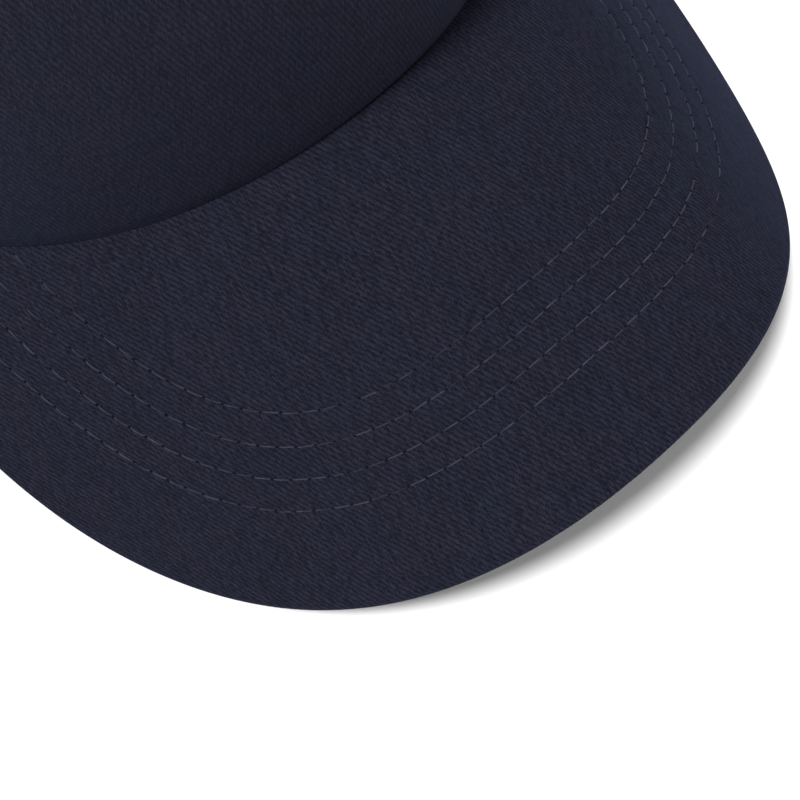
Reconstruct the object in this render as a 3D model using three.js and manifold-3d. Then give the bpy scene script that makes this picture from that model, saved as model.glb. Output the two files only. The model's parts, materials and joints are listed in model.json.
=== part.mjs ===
// A five-panel baseball cap with a pre-curved, stitched brim and an adjustable back strap.
// Millimetres, +Z up, brim pointing along -Y. The cap stands on the brim's two side edges and on
// the back of the crown. The design frame starts at the middle of the brim seam; the last lines
// move the finished cap so that its base centre is the origin.
import * as THREE from 'three';
import Module from 'manifold-3d';
import { mergeVertices } from 'three/addons/utils/BufferGeometryUtils.js';

const wasm = await Module();
wasm.setup();

// ---------- driving dimensions ----------
const seamHeight = 52.1;          // brim seam centre above the table

// Brim: a flat pattern (u across, v forward) bent into a saddle-free arch.
const brimDroop = 13.69;          // degrees the brim points down in front
const brimBend = 0.01444;         // arch curvature across the brim, 1/mm (radius 69 mm)
const brimBendTaper = 0.00134;    // growth of that curvature with v, 1/mm
const brimBendEase = -1.637e-6;   // the arch straightens towards the sides, 1/mm^3
const brimSag = 1.094e-3;         // curvature from back to front, 1/mm
const brimMidV = 35;              // v where the taper and the sag are zero
const brimEdge = { a: 99.55, b: 82.5, v: -18.8, n: 2.262 };
const seamCentreV = -103.6;       // centre of the seam's arc in the flat pattern
const seamRadius = 93.95;         // radius of that arc
const seamEndAngle = 66.4;        // half angle of the seam
const brimGap = 0.35;             // clearance between the brim and the crown
const coverThickness = 0.6;
const layerGap = 0.3;
const boardThickness = 1.8;
const brimThickness = 2 * coverThickness + 2 * layerGap + boardThickness;

// Crown: half widths of the plan, heights above the brim seam.
const crownHalfWidth = 82;
const crownFrontDepth = 96.9;     // plan centre to the front of the side curve
const crownBackDepth = 92;
const crownCentreY = 102;
const apexHeight = 96;
const crownTilt = 9;              // the top falls from front to back
const squareness = { back: 2.2, front: 3.6 };
const rimFlatY = 160;             // the rim lies on the table behind this line
const panelThickness = 0.8;
const panelGap = 0.15;            // half of the gap at a panel seam
const apexHole = 3;
const panelSeams = [60, 120, 180, 240, 300];

// Lining pieces, as depths below the crown's outer face.
const tapeDepth = [1.25, 1.85];
const tapeHalfWidth = 5;
const buckramDepth = [1.1, 1.7];
const bandDepthFront = 2.7;
const bandDepthBack = 5.4;
const bandThickness = 1.3;
const bandHeight = 31;
const bandLift = 1.5;
const bandEndAngle = 132;

// Back opening, strap and buckle.
const arch = { halfWidth: 45, height: 47, roundness: 0.85 };
const binding = { overlap: 4, reach: -1.3, room: 0.4, ply: 0.5 };
const strapRadius = 72.9;         // outer face
const strapThickness = 1.2;
const strapCentreY = 118;
const strapSpan = [-58, 40];      // degrees about the strap's axis, 0 at the back
const strapBottom = 2.2;
const strapHeight = 17;
const buckleAngle = 20;
// Buckle sizes: q along the strap, n outwards from the strap's outer face.
const buckle = {
  halfLength: 12, rail: 2, bottom: 0.6, top: 20.8, wall: 1.2,
  plateLow: -4.8, plateHigh: -3.7, cheekHigh: 3.9, cheekFrom: 1, cheekTo: 9,
};
const pin = { q: 5, n: 2.2, r: 0.8, hole: 1.0 };
const lever = { low: 0.6, high: 1.7, end: -11, barrel: 1.7 };
const tab = { from: 30.6, to: 44, n: -3.6, thickness: 1.2, loopOuter: 2.1, loopHole: 1.45 };

const eyelet = { hole: 3.0, barrel: 2.6, bore: 2.0, flange: 5.2, lift: 0.3, thickness: 0.7 };
const eyeletRadius = 56;          // from the crown's middle, in plan
const button = { radius: 7.6, height: 5.2, shell: 0.7, post: 1.6, washer: 7 };

// ---------- colours ----------
const navy = new THREE.Color(0x24263a);
const navyCloth = () => new THREE.MeshStandardMaterial({ color: navy, roughness: 0.9 });
const threadCloth = () => new THREE.MeshStandardMaterial({ color: 0x2c2f45, roughness: 0.7 });
const liningCloth = () => new THREE.MeshStandardMaterial({ color: 0x1c1d29, roughness: 0.95 });
const stiffCloth = () => new THREE.MeshStandardMaterial({ color: 0xdcdad2, roughness: 0.9 });
const labelCloth = () => new THREE.MeshStandardMaterial({ color: 0xeeeeea, roughness: 0.8 });
const plastic = () => new THREE.MeshStandardMaterial({ color: 0xe6e6e2, roughness: 0.5 });
const metal = () => new THREE.MeshStandardMaterial({ color: 0xb9bbbd, roughness: 0.35, metalness: 1 });

const cap = new THREE.Group();

function addPart(name, geometry, material, parent = cap) {
  const mesh = new THREE.Mesh(geometry, material);
  mesh.name = name;
  parent.add(mesh);
  return mesh;
}

// ---------- mathematics ----------
const rad = THREE.MathUtils.degToRad;
const deg = THREE.MathUtils.radToDeg;
const mix = THREE.MathUtils.lerp;
const smooth = THREE.MathUtils.smoothstep;

function signedPower(value, power) {
  return Math.sign(value) * Math.abs(value) ** power;
}

// A point of a superellipse outline; angle 0 is its front.
function superellipse(shape, degrees) {
  const power = 2 / shape.n;
  const u = shape.a * signedPower(Math.sin(rad(degrees)), power);
  const v = shape.v + shape.b * signedPower(Math.cos(rad(degrees)), power);
  return new THREE.Vector2(u, v);
}

// Bend angle of the arch at a flat point.
function bendAngle(u, v) {
  return brimBend * u * (1 + brimBendTaper * (v - brimMidV)) + (brimBendEase * u ** 3) / 3;
}

// The flat point (u, v) on the bent and drooping upper face of the brim, O at u = v = 0.
function bentPoint(u, v) {
  const steps = 16;
  let x = 0;
  let fall = (brimSag * (v - brimMidV) ** 2) / 2;
  for (let i = 0; i < steps; i += 1) {
    const angle = bendAngle((u * (i + 0.5)) / steps, v);
    x += (Math.cos(angle) * u) / steps;
    fall += (Math.sin(angle) * u) / steps;
  }
  const c = Math.cos(rad(brimDroop));
  const s = Math.sin(rad(brimDroop));
  return new THREE.Vector3(x, -v * c + fall * s, -v * s - fall * c);
}

const seamCentre = bentPoint(0, seamCentreV + seamRadius);

// A point of the brim at a height above its upper face, from the middle of the seam.
function brimPoint(u, v, height = 0) {
  const point = bentPoint(u, v);
  const alongU = bentPoint(u + 0.5, v).sub(bentPoint(u - 0.5, v));
  const alongV = bentPoint(u, v + 0.5).sub(bentPoint(u, v - 0.5));
  const normal = alongV.cross(alongU).normalize();
  return point.addScaledVector(normal, height).sub(seamCentre);
}

// ---------- crown surface ----------
function seamPoint(angle) {
  const u = seamRadius * Math.sin(rad(angle));
  const v = seamCentreV + seamRadius * Math.cos(rad(angle));
  return brimPoint(u, v);
}

const seamEnd = seamPoint(seamEndAngle);

// The crown's lower edge; angle 0 is the front, 180 the back. It follows the brim seam in front
// and runs down to the table behind the brim.
function rimPoint(angle) {
  const turn = deg(Math.atan2(Math.sin(rad(angle)), Math.cos(rad(angle))));
  if (Math.abs(turn) <= seamEndAngle) {
    const point = seamPoint(turn);
    point.z -= brimThickness;
    return point;
  }
  const depth = Math.abs(turn) < 90 ? crownFrontDepth : crownBackDepth;
  const x = crownHalfWidth * Math.sin(rad(turn));
  const y = crownCentreY - depth * Math.cos(rad(turn));
  const run = rimFlatY - seamEnd.y;
  const s = THREE.MathUtils.clamp((y - seamEnd.y) / run, 0, 1);
  const start = seamEnd.z - brimThickness;
  const startSlope = -0.13 * run;
  const z = start * (2 * s ** 3 - 3 * s ** 2 + 1) + startSlope * (s ** 3 - 2 * s ** 2 + s)
    - seamHeight * (3 * s ** 2 - 2 * s ** 3);
  return new THREE.Vector3(x, y, z);
}

function squarenessAt(angle) {
  const front = ((1 + Math.cos(rad(angle))) / 2) ** 2;
  return mix(squareness.back, squareness.front, front);
}

// rise is the polar angle of the meridian's superellipse: 0 at the rim, 90 degrees at the apex.
function crownBase(angle, rise) {
  const rim = rimPoint(angle);
  const p = squarenessAt(angle);
  const across = Math.max(Math.cos(rad(rise)), 0);
  const up = Math.max(Math.sin(rad(rise)), 0);
  const size = (across ** p + up ** p) ** (1 / p);
  const r = across / size;
  const h = up / size;
  const tilt = crownTilt * Math.cos(rad(angle));
  const x = rim.x * r;
  const y = crownCentreY + (rim.y - crownCentreY) * r;
  const z = rim.z + (apexHeight + tilt - rim.z) * h - tilt * (1 - r) ** 2;
  return new THREE.Vector3(x, y, z);
}

// depth is measured inwards, square to the crown's outer face.
function crownPoint(angle, rise, depth = 0) {
  const across = crownBase(angle + 0.4, rise).sub(crownBase(angle - 0.4, rise));
  const up = crownBase(angle, rise + 0.3).sub(crownBase(angle, Math.max(rise - 0.3, 0)));
  const outward = across.cross(up).normalize();
  return crownBase(angle, rise).addScaledVector(outward, -depth);
}

function riseAtHeight(angle, height) {
  const p = squarenessAt(angle);
  const h = height / (apexHeight + crownTilt * Math.cos(rad(angle)) - rimPoint(angle).z);
  return deg(Math.atan2(h, (1 - h ** p) ** (1 / p)));
}

function riseAtRadius(angle, radius) {
  const p = squarenessAt(angle);
  const rim = rimPoint(angle);
  const r = radius / Math.hypot(rim.x, rim.y - crownCentreY);
  return deg(Math.atan2((1 - r ** p) ** (1 / p), r));
}

// The plan angle and rise of the point on the crown's back with a given x and height above the
// table.
function backPlace(x, height) {
  let angle = 180;
  let rise = 0;
  for (let step = 0; step < 12; step += 1) {
    const reach = crownBase(180, rise).y - crownCentreY;
    angle = 180 - deg(Math.asin(THREE.MathUtils.clamp((x * crownBackDepth) / (crownHalfWidth * reach), -1, 1)));
    rise = riseAtHeight(angle, height);
  }
  return { angle, rise };
}

// All layers of the crown share these rows, so that their facets nest.
const crownRows = 12;

function rowRise(angle, row) {
  return (riseAtRadius(angle, apexHole) * row) / crownRows;
}

// The plan angle that keeps a set distance from a meridian.
function besideMeridian(angle, rise, distance) {
  const point = crownBase(angle, rise);
  const reach = Math.hypot(point.x, point.y - crownCentreY);
  return angle + deg(Math.asin(THREE.MathUtils.clamp(distance / reach, -1, 1)));
}

// ---------- solids ----------
// A closed shell between two grids of points, outer(i, j) and inner(i, j), both in 0..1.
function shell(columns, rows, outer, inner) {
  const points = [];
  for (const face of [outer, inner]) {
    for (let i = 0; i <= columns; i += 1) {
      for (let j = 0; j <= rows; j += 1) {
        points.push(face(i / columns, j / rows));
      }
    }
  }
  const count = (columns + 1) * (rows + 1);
  const at = (i, j, side) => side * count + i * (rows + 1) + j;
  const index = [];
  const quad = (a, b, c, d) => index.push(a, b, c, a, c, d);
  for (let i = 0; i < columns; i += 1) {
    for (let j = 0; j < rows; j += 1) {
      quad(at(i, j, 0), at(i + 1, j, 0), at(i + 1, j + 1, 0), at(i, j + 1, 0));
      quad(at(i, j, 1), at(i, j + 1, 1), at(i + 1, j + 1, 1), at(i + 1, j, 1));
    }
    quad(at(i, 0, 1), at(i + 1, 0, 1), at(i + 1, 0, 0), at(i, 0, 0));
    quad(at(i, rows, 0), at(i + 1, rows, 0), at(i + 1, rows, 1), at(i, rows, 1));
  }
  for (let j = 0; j < rows; j += 1) {
    quad(at(0, j, 0), at(0, j + 1, 0), at(0, j + 1, 1), at(0, j, 1));
    quad(at(columns, j, 1), at(columns, j + 1, 1), at(columns, j + 1, 0), at(columns, j, 0));
  }
  return indexed(points, index);
}

function indexed(points, index) {
  const geometry = new THREE.BufferGeometry();
  const numbers = points.flatMap((point) => point.toArray());
  geometry.setAttribute('position', new THREE.Float32BufferAttribute(numbers, 3));
  geometry.setIndex(index);
  return faceOutwards(geometry);
}

// A closed bar through copies of a section that follow one another, with flat ends.
function bar(points, section, stations) {
  const sides = section.length;
  const index = [];
  const at = (k, side) => k * sides + (side % sides);
  for (let k = 0; k < stations; k += 1) {
    for (let side = 0; side < sides; side += 1) {
      index.push(at(k, side), at(k + 1, side), at(k + 1, side + 1));
      index.push(at(k, side), at(k + 1, side + 1), at(k, side + 1));
    }
  }
  const outline = section.map(([x, y]) => new THREE.Vector2(x, y));
  for (const [a, b, c] of THREE.ShapeUtils.triangulateShape(outline, [])) {
    index.push(at(0, a), at(0, b), at(0, c));
    index.push(at(stations, a), at(stations, c), at(stations, b));
  }
  return indexed(points, index);
}

function volume(geometry) {
  const position = geometry.attributes.position;
  const index = geometry.index;
  const corner = [new THREE.Vector3(), new THREE.Vector3(), new THREE.Vector3()];
  let total = 0;
  for (let i = 0; i < index.count; i += 3) {
    corner.forEach((point, k) => point.fromBufferAttribute(position, index.getX(i + k)));
    total += corner[0].dot(corner[1].clone().cross(corner[2]));
  }
  return total / 6;
}

function faceOutwards(geometry) {
  if (volume(geometry) < 0) {
    geometry.setIndex(Array.from(geometry.index.array).reverse());
  }
  return geometry;
}

// Joins corners that lie closer than the tolerance and drops the triangles that this flattens.
function welded(geometry, tolerance = 1e-3) {
  const bare = geometry.clone();
  bare.deleteAttribute('normal');
  bare.deleteAttribute('uv');
  const merged = mergeVertices(bare, tolerance);
  const corners = Array.from(merged.index.array);
  const kept = [];
  for (let i = 0; i < corners.length; i += 3) {
    const [a, b, c] = corners.slice(i, i + 3);
    if (a !== b && b !== c && c !== a) {
      kept.push(a, b, c);
    }
  }
  merged.setIndex(kept);
  return merged;
}

function solid(geometry) {
  const bare = faceOutwards(welded(geometry));
  return new wasm.Manifold(new wasm.Mesh({
    numProp: 3,
    vertProperties: new Float32Array(bare.attributes.position.array),
    triVerts: new Uint32Array(bare.index.array),
  }));
}

function geometryOf(manifold) {
  const mesh = manifold.getMesh();
  const geometry = new THREE.BufferGeometry();
  geometry.setAttribute('position', new THREE.BufferAttribute(mesh.vertProperties, 3));
  geometry.setIndex(new THREE.BufferAttribute(mesh.triVerts, 1));
  return welded(geometry, 0.02);
}

function box(low, high) {
  const geometry = new THREE.BoxGeometry(high[0] - low[0], high[1] - low[1], high[2] - low[2]);
  return geometry.translate((high[0] + low[0]) / 2, (high[1] + low[1]) / 2, (high[2] + low[2]) / 2);
}

// ---------- brim ----------
const seamCutter = solid(makeSeamCutter());

// An upright prism that fills the front of the crown, so that the brim stops at its outer face.
function makeSeamCutter() {
  const outline = [];
  for (let angle = -90; angle <= 90; angle += 3) {
    const rim = rimPoint(angle);
    const reach = Math.hypot(rim.x, rim.y - crownCentreY);
    const grow = 1 + brimGap / reach;
    outline.push(new THREE.Vector2(rim.x * grow, crownCentreY + (rim.y - crownCentreY) * grow));
  }
  const prism = new THREE.ExtrudeGeometry(new THREE.Shape(outline), { depth: 120, bevelEnabled: false });
  return prism.translate(0, 0, -80);
}

// Rows run from under the crown to the brim's edge, columns along the edge.
function brimFlat(i, inset, j) {
  const edge = superellipse(brimEdge, mix(-127, 127, i));
  const centre = new THREE.Vector2(0, seamCentreV);
  const outward = edge.clone().sub(centre);
  const reach = outward.length();
  const inner = seamRadius - 5;
  const radius = mix(inner, Math.max(reach - inset, inner + 0.5), j);
  return centre.addScaledVector(outward.normalize(), radius);
}

const brimColumns = 28;
const flatRows = 2;
const rollRows = 2;

// A cover's face: flat on the board, then rolled round the edge down to mid thickness.
function coverFace(side, depth) {
  const middle = -brimThickness / 2;
  const radius = brimThickness / 2 - depth;
  return (i, j) => {
    const row = j * (flatRows + rollRows);
    const turn = Math.max(row - flatRows, 0) / rollRows;
    const roll = rad(mix(0, side > 0 ? 87 : 83, turn));
    const inset = brimThickness / 2 - radius * Math.sin(roll);
    const flat = brimFlat(i, inset, Math.min(row / flatRows, 1));
    return brimPoint(flat.x, flat.y, middle + side * radius * Math.cos(roll));
  };
}

function addBrim() {
  const top = shell(brimColumns, flatRows + rollRows, coverFace(1, 0), coverFace(1, coverThickness));
  const under = shell(brimColumns, flatRows + rollRows, coverFace(-1, 0), coverFace(-1, coverThickness));
  const boardInset = brimThickness / 2;
  const boardHeight = (height) => (i, j) => {
    const flat = brimFlat(i, boardInset, j);
    return brimPoint(flat.x, flat.y, height);
  };
  const boardTop = -coverThickness - layerGap;
  const board = shell(brimColumns, flatRows, boardHeight(boardTop), boardHeight(boardTop - boardThickness));
  addPart('visor_top_cover', geometryOf(solid(top).subtract(seamCutter)), navyCloth());
  addPart('visor_board', geometryOf(solid(board).subtract(seamCutter)), plastic());
  addPart('visor_under_cover', geometryOf(solid(under).subtract(seamCutter)), navyCloth());
}

// Four rows of lockstitch follow the brim's edge, the first one innermost.
function addStitchRows() {
  const width = 0.9;
  for (let row = 0; row < 4; row += 1) {
    const path = { a: 62.8 + 6.04 * row, b: 76.4 + 5.3 * row, v: -48, n: 3.1 - 0.09 * row };
    const face = (height) => (i, j) => {
      const narrow = { ...path, a: path.a + (j - 0.5) * width, b: path.b + (j - 0.5) * width };
      const flat = superellipse(narrow, mix(-100, 100, i));
      return brimPoint(flat.x, flat.y, height);
    };
    const ribbon = solid(shell(32, 1, face(1.0), face(0.6)));
    addPart(`visor_stitch_row_${row + 1}`, geometryOf(ribbon.subtract(seamCutter)), threadCloth());
  }
}

// ---------- crown panels ----------
// A layer of the crown between two meridians, kept a margin away from both.
function sectorShell(sector, margin, rows, depths) {
  const [from, to, columns] = sector;
  const face = (depth) => (i, j) => {
    const middle = mix(from, to, i);
    const rise = rowRise(middle, mix(rows[0], rows[1], j));
    const start = besideMeridian(from, rise, margin);
    const end = besideMeridian(to, rise, -margin);
    return crownPoint(mix(start, end, i), rise, depth);
  };
  return shell(columns, rows[1] - rows[0], face(depths[0]), face(depths[1]));
}

function panelSolid(from, to, columns) {
  return solid(sectorShell([from, to, columns], panelGap, [0, crownRows], [0, panelThickness]));
}

// A drill that stands square to the crown at an eyelet.
function eyeletFrame(angle) {
  const rise = riseAtRadius(angle, eyeletRadius);
  const origin = crownPoint(angle, rise, 0);
  const outward = crownPoint(angle, rise, -1).sub(origin).normalize();
  const turn = new THREE.Quaternion().setFromUnitVectors(new THREE.Vector3(0, 1, 0), outward);
  return { origin, turn };
}

function eyeletDrill(angle) {
  const { origin, turn } = eyeletFrame(angle);
  const drill = new THREE.CylinderGeometry(eyelet.hole, eyelet.hole, 8, 14, 1, false, 0.37);
  return solid(drill.applyQuaternion(turn).translate(origin.x, origin.y, origin.z));
}

// A point of the back opening's outline as x and height, grown by a margin; turn 0 is its right
// foot, 90 its top and 180 its left foot.
function archOutline(turn, margin = 0) {
  return {
    x: (arch.halfWidth + margin) * signedPower(Math.cos(rad(turn)), arch.roundness),
    height: (arch.height + margin) * Math.sin(rad(turn)) ** arch.roundness,
  };
}

// Columns of a rear panel: plain ones first, then one for each step of the opening's outline.
const plainColumns = 3;
const archColumns = 7;

function rearPanelSolid(side) {
  const foot = backPlace(arch.halfWidth, 0);
  const column = (index) => {
    if (index <= plainColumns) {
      return { angle: mix(120, foot.angle, index / plainColumns), rise: 0 };
    }
    const outline = archOutline((90 * (index - plainColumns)) / archColumns);
    return backPlace(outline.x, outline.height);
  };
  const columns = plainColumns + archColumns;
  const face = (depth) => (i, j) => {
    const { angle, rise } = column(Math.round(i * columns));
    const height = mix(rise, riseAtRadius(angle, apexHole), j);
    let kept = angle;
    kept = Math.max(kept, besideMeridian(120, height, panelGap));
    kept = Math.min(kept, besideMeridian(180, height, -panelGap));
    return crownPoint(side * kept, height, depth);
  };
  return solid(shell(columns, crownRows, face(0), face(panelThickness)));
}

function addPanels() {
  addPart('crown_front_panel', geometryOf(panelSolid(-60, 60, 14)), navyCloth());
  for (const [name, side] of [['right', 1], ['left', -1]]) {
    const sidePanel = panelSolid(90 * side - 30, 90 * side + 30, 7).subtract(eyeletDrill(90 * side));
    addPart(`crown_side_panel_${name}`, geometryOf(sidePanel), navyCloth());
    const rearPanel = rearPanelSolid(side).subtract(eyeletDrill(150 * side));
    addPart(`crown_rear_panel_${name}`, geometryOf(rearPanel), navyCloth());
  }
}

function addEyelets() {
  const places = { side_right: 90, rear_right: 150, rear_left: -150, side_left: -90 };
  const top = eyelet.lift + eyelet.thickness;
  const bottom = -panelThickness - eyelet.lift - 0.4;
  const profile = [
    [eyelet.bore, bottom], [eyelet.barrel, bottom], [eyelet.barrel, eyelet.lift],
    [eyelet.flange - 0.3, eyelet.lift], [eyelet.flange, eyelet.lift + 0.2],
    [eyelet.flange - 0.9, top], [eyelet.bore + 0.4, top], [eyelet.bore, top - 0.4], [eyelet.bore, bottom],
  ];
  for (const [place, angle] of Object.entries(places)) {
    const { origin, turn } = eyeletFrame(angle);
    const ring = new THREE.LatheGeometry(profile.map(([r, y]) => new THREE.Vector2(r, y)), 14);
    const mesh = addPart(`eyelet_${place}`, faceOutwards(welded(ring)), threadCloth());
    mesh.position.copy(origin);
    mesh.quaternion.copy(turn);
  }
}

// ---------- linings ----------
function addSeamTapes() {
  const names = ['front_right', 'side_right', 'rear', 'side_left', 'front_left'];
  panelSeams.forEach((angle, k) => {
    const rows = angle === 180 ? [5, crownRows - 1] : [1, crownRows - 1];
    const face = (depth) => (i, j) => {
      const rise = rowRise(angle, mix(rows[0], rows[1], j));
      return crownPoint(besideMeridian(angle, rise, mix(-tapeHalfWidth, tapeHalfWidth, i)), rise, depth);
    };
    const tape = shell(1, rows[1] - rows[0], face(tapeDepth[0]), face(tapeDepth[1]));
    addPart(`seam_tape_${names[k]}`, tape, liningCloth());
  });
}

function addBuckram() {
  const margin = tapeHalfWidth + 0.6;
  const buckram = sectorShell([-60, 60, 14], margin, [1, crownRows - 2], buckramDepth);
  addPart('front_buckram', buckram, stiffCloth());
}

function bandDepth(angle) {
  return mix(bandDepthFront, bandDepthBack, smooth(Math.abs(angle), 85, 112));
}

function addSweatband() {
  const face = (extra) => (i, j) => {
    const angle = mix(-bandEndAngle, bandEndAngle, i);
    const rise = riseAtHeight(angle, mix(bandLift, bandLift + bandHeight, j));
    return crownPoint(angle, rise, bandDepth(angle) + extra);
  };
  addPart('sweatband', shell(40, 1, face(0), face(bandThickness)), liningCloth());
}

function addLabel() {
  const lift = 0.35;
  const face = (extra) => (i, j) => {
    const angle = mix(-112, -100, i);
    const rise = riseAtHeight(angle, mix(6, 26, j));
    return crownPoint(angle, rise, bandDepth(angle) + bandThickness + lift + extra);
  };
  addPart('care_label', shell(3, 1, face(0), face(0.35)), labelCloth());
}

// A folded tape that wraps the raw edge of the back opening, inside and outside the panels.
function addBinding() {
  const { overlap, reach, room, ply } = binding;
  const section = [
    [reach, -room - ply], [overlap, -room - ply], [overlap, -room], [-room, -room],
    [-room, panelThickness + room], [overlap, panelThickness + room],
    [overlap, panelThickness + room + ply], [reach, panelThickness + room + ply],
  ];
  const stations = 2 * archColumns;
  const points = [];
  for (let k = 0; k <= stations; k += 1) {
    for (const [margin, depth] of section) {
      const outline = archOutline((180 * k) / stations, margin);
      const place = backPlace(outline.x, outline.height);
      points.push(crownPoint(place.angle, place.rise, depth));
    }
  }
  addPart('rear_opening_binding', bar(points, section, stations), liningCloth());
}

// ---------- button on top ----------
function addButton() {
  const group = new THREE.Group();
  group.position.set(0, crownCentreY, apexHeight);
  group.rotation.x = Math.PI / 2 - Math.atan((2 * crownTilt) / (crownFrontDepth + crownBackDepth) * 2);
  const domeSteps = 5;
  const dome = (radius, height, base) => {
    const points = [];
    for (let k = 0; k <= domeSteps; k += 1) {
      const angle = (Math.PI * k) / (2 * domeSteps);
      points.push(new THREE.Vector2(radius * Math.cos(angle) ** 0.8, base + (height - base) * Math.sin(angle)));
    }
    points[domeSteps].x = 0;
    return points;
  };
  const base = 0.7;
  const gap = 0.3;
  const cover = dome(button.radius, button.height, base).reverse();
  const coverInside = dome(button.radius - 0.6, button.height - 0.6, base);
  const lathe = (points) => faceOutwards(welded(new THREE.LatheGeometry(points, 18)));
  addPart('button_cover', lathe([...cover, ...coverInside]), navyCloth(), group);
  const inner = button.radius - 0.6 - gap;
  const shellOutside = dome(inner, button.height - 0.6 - gap, base).reverse();
  const shellInside = dome(inner - button.shell, button.height - 0.6 - gap - button.shell, base);
  addPart('button_shell', lathe([...shellOutside, ...shellInside]), metal(), group);
  const washerTop = -tapeDepth[1] - 0.5;
  const tackProfile = [
    [0, 2.6], [button.post, 2.6], [button.post, washerTop], [button.washer, washerTop],
    [button.washer, washerTop - 0.6], [0, washerTop - 0.6],
  ];
  addPart('button_tack', lathe(tackProfile.map(([r, y]) => new THREE.Vector2(r, y))), metal(), group);
  cap.add(group);
}

// ---------- strap and buckle ----------
function arcPoint(angle, radius, z) {
  return new THREE.Vector3(
    radius * Math.sin(rad(angle)),
    strapCentreY + radius * Math.cos(rad(angle)),
    z - seamHeight,
  );
}

function addStrap() {
  const face = (radius) => (i, j) => {
    const angle = mix(strapSpan[0], strapSpan[1], i);
    return arcPoint(angle, radius, strapBottom + strapHeight * j);
  };
  const strap = shell(28, 1, face(strapRadius), face(strapRadius - strapThickness));
  addPart('back_strap', strap, navyCloth());
}

// The buckle's own frame: x along the strap, y outwards from the strap's outer face, z up.
const buckleGroup = new THREE.Group();
buckleGroup.position.copy(arcPoint(buckleAngle, strapRadius, 0));
buckleGroup.rotation.z = -rad(buckleAngle);

// An upright cylinder through (q, n) of the buckle's frame.
function upright(radius, place, bottom, top, sides = 16) {
  const cylinder = new THREE.CylinderGeometry(radius, radius, top - bottom, sides);
  return cylinder.rotateX(Math.PI / 2).translate(place.q, place.n, (top + bottom) / 2);
}

function addBuckle() {
  const b = buckle;
  const plate = solid(box([-b.halfLength, b.plateLow, b.bottom], [b.halfLength, b.plateHigh, b.top]));
  const window = solid(box(
    [-b.halfLength + b.rail, b.plateLow - 1, b.bottom + b.wall],
    [b.halfLength - b.rail, b.plateHigh + 1, b.top - b.wall],
  ));
  let frame = plate.subtract(window);
  for (const z of [b.bottom, b.top - b.wall]) {
    const cheek = box([b.cheekFrom, b.plateLow + 0.2, z + 0.1], [b.cheekTo, b.cheekHigh, z + b.wall - 0.1]);
    frame = frame.add(solid(cheek));
  }
  frame = frame.subtract(solid(upright(pin.hole, pin, b.bottom - 1, b.top + 1)));
  addPart('buckle_frame', geometryOf(frame), metal(), buckleGroup);
  addPart('buckle_pin', welded(upright(pin.r, pin, b.bottom, b.top)), metal(), buckleGroup);

  const low = strapBottom + 0.1;
  const high = strapBottom + strapHeight - 0.1;
  const flap = solid(box([lever.end, lever.low, low + 0.2], [pin.q, lever.high, high - 0.2]));
  const barrel = solid(upright(lever.barrel, pin, low, high, 20));
  const bore = solid(upright(pin.hole, pin, low - 1, high + 1));
  addPart('buckle_lever', geometryOf(flap.add(barrel).subtract(bore)), metal(), buckleGroup);
  cap.add(buckleGroup);
}

// A short tab of cloth, looped round the buckle's end bar and sewn behind the right rear panel.
function addBuckleTab() {
  const bottom = strapBottom + 0.3;
  const top = strapBottom + strapHeight - 0.3;
  const middle = strapRadius + tab.n;
  const face = (radius) => (i, j) => arcPoint(mix(tab.from, tab.to, i), radius, mix(bottom + 0.2, top - 0.2, j));
  const band = solid(shell(5, 1, face(middle + tab.thickness / 2), face(middle - tab.thickness / 2)));
  const bar = { q: buckle.halfLength - buckle.rail / 2, n: (buckle.plateLow + buckle.plateHigh) / 2 };
  const placed = (geometry) => {
    buckleGroup.updateMatrixWorld(true);
    return solid(geometry.applyMatrix4(buckleGroup.matrixWorld));
  };
  const loop = placed(upright(tab.loopOuter, bar, bottom, top));
  const hole = placed(upright(tab.loopHole, bar, bottom - 1, top + 1));
  addPart('buckle_tab', geometryOf(band.add(loop).subtract(hole)), navyCloth());
}

// ---------- assembly ----------
addPanels();
addBuckram();
addSeamTapes();
addBinding();
addSweatband();
addLabel();
addBrim();
addStitchRows();
addEyelets();
addButton();
addStrap();
addBuckle();
addBuckleTab();

cap.updateMatrixWorld(true);
const extent = new THREE.Box3().setFromObject(cap, true);
cap.position.set(0, -(extent.min.y + extent.max.y) / 2, -extent.min.z);
export default cap;
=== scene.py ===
"""A navy twill baseball cap: the looks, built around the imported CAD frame.

Shapes are worked out in millimetres in the design frame, whose origin is the middle of the seam
between the visor and the crown, with +Z up and the visor along -Y. to_row() moves them to the row
frame in metres. Cloth pieces carry UVs in millimetres along and across the cut cloth, so that the
weave has its real size and direction on every piece.
"""
import json
import math
import random

import bmesh
import bpy
import numpy as np
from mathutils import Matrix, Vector


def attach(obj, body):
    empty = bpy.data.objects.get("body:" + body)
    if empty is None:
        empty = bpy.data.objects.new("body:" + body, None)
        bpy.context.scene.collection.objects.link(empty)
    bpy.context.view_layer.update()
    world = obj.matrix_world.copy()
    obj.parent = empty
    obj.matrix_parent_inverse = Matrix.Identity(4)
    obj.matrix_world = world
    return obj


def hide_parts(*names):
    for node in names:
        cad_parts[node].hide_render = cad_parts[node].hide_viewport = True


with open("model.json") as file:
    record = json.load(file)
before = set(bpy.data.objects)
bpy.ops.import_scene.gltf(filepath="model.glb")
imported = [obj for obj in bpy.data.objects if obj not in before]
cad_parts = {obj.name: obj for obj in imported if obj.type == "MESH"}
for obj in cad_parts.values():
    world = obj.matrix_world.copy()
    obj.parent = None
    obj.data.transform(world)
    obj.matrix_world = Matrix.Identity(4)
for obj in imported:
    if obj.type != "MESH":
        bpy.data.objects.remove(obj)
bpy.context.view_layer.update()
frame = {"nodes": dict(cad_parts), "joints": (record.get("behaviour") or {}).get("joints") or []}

# ---------- driving dimensions, in millimetres and degrees ----------
SEAM_HEIGHT = 52.1          # visor seam above the table
STRAP_CENTRE_Y = 118.0      # the strap's axis in the design frame
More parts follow.
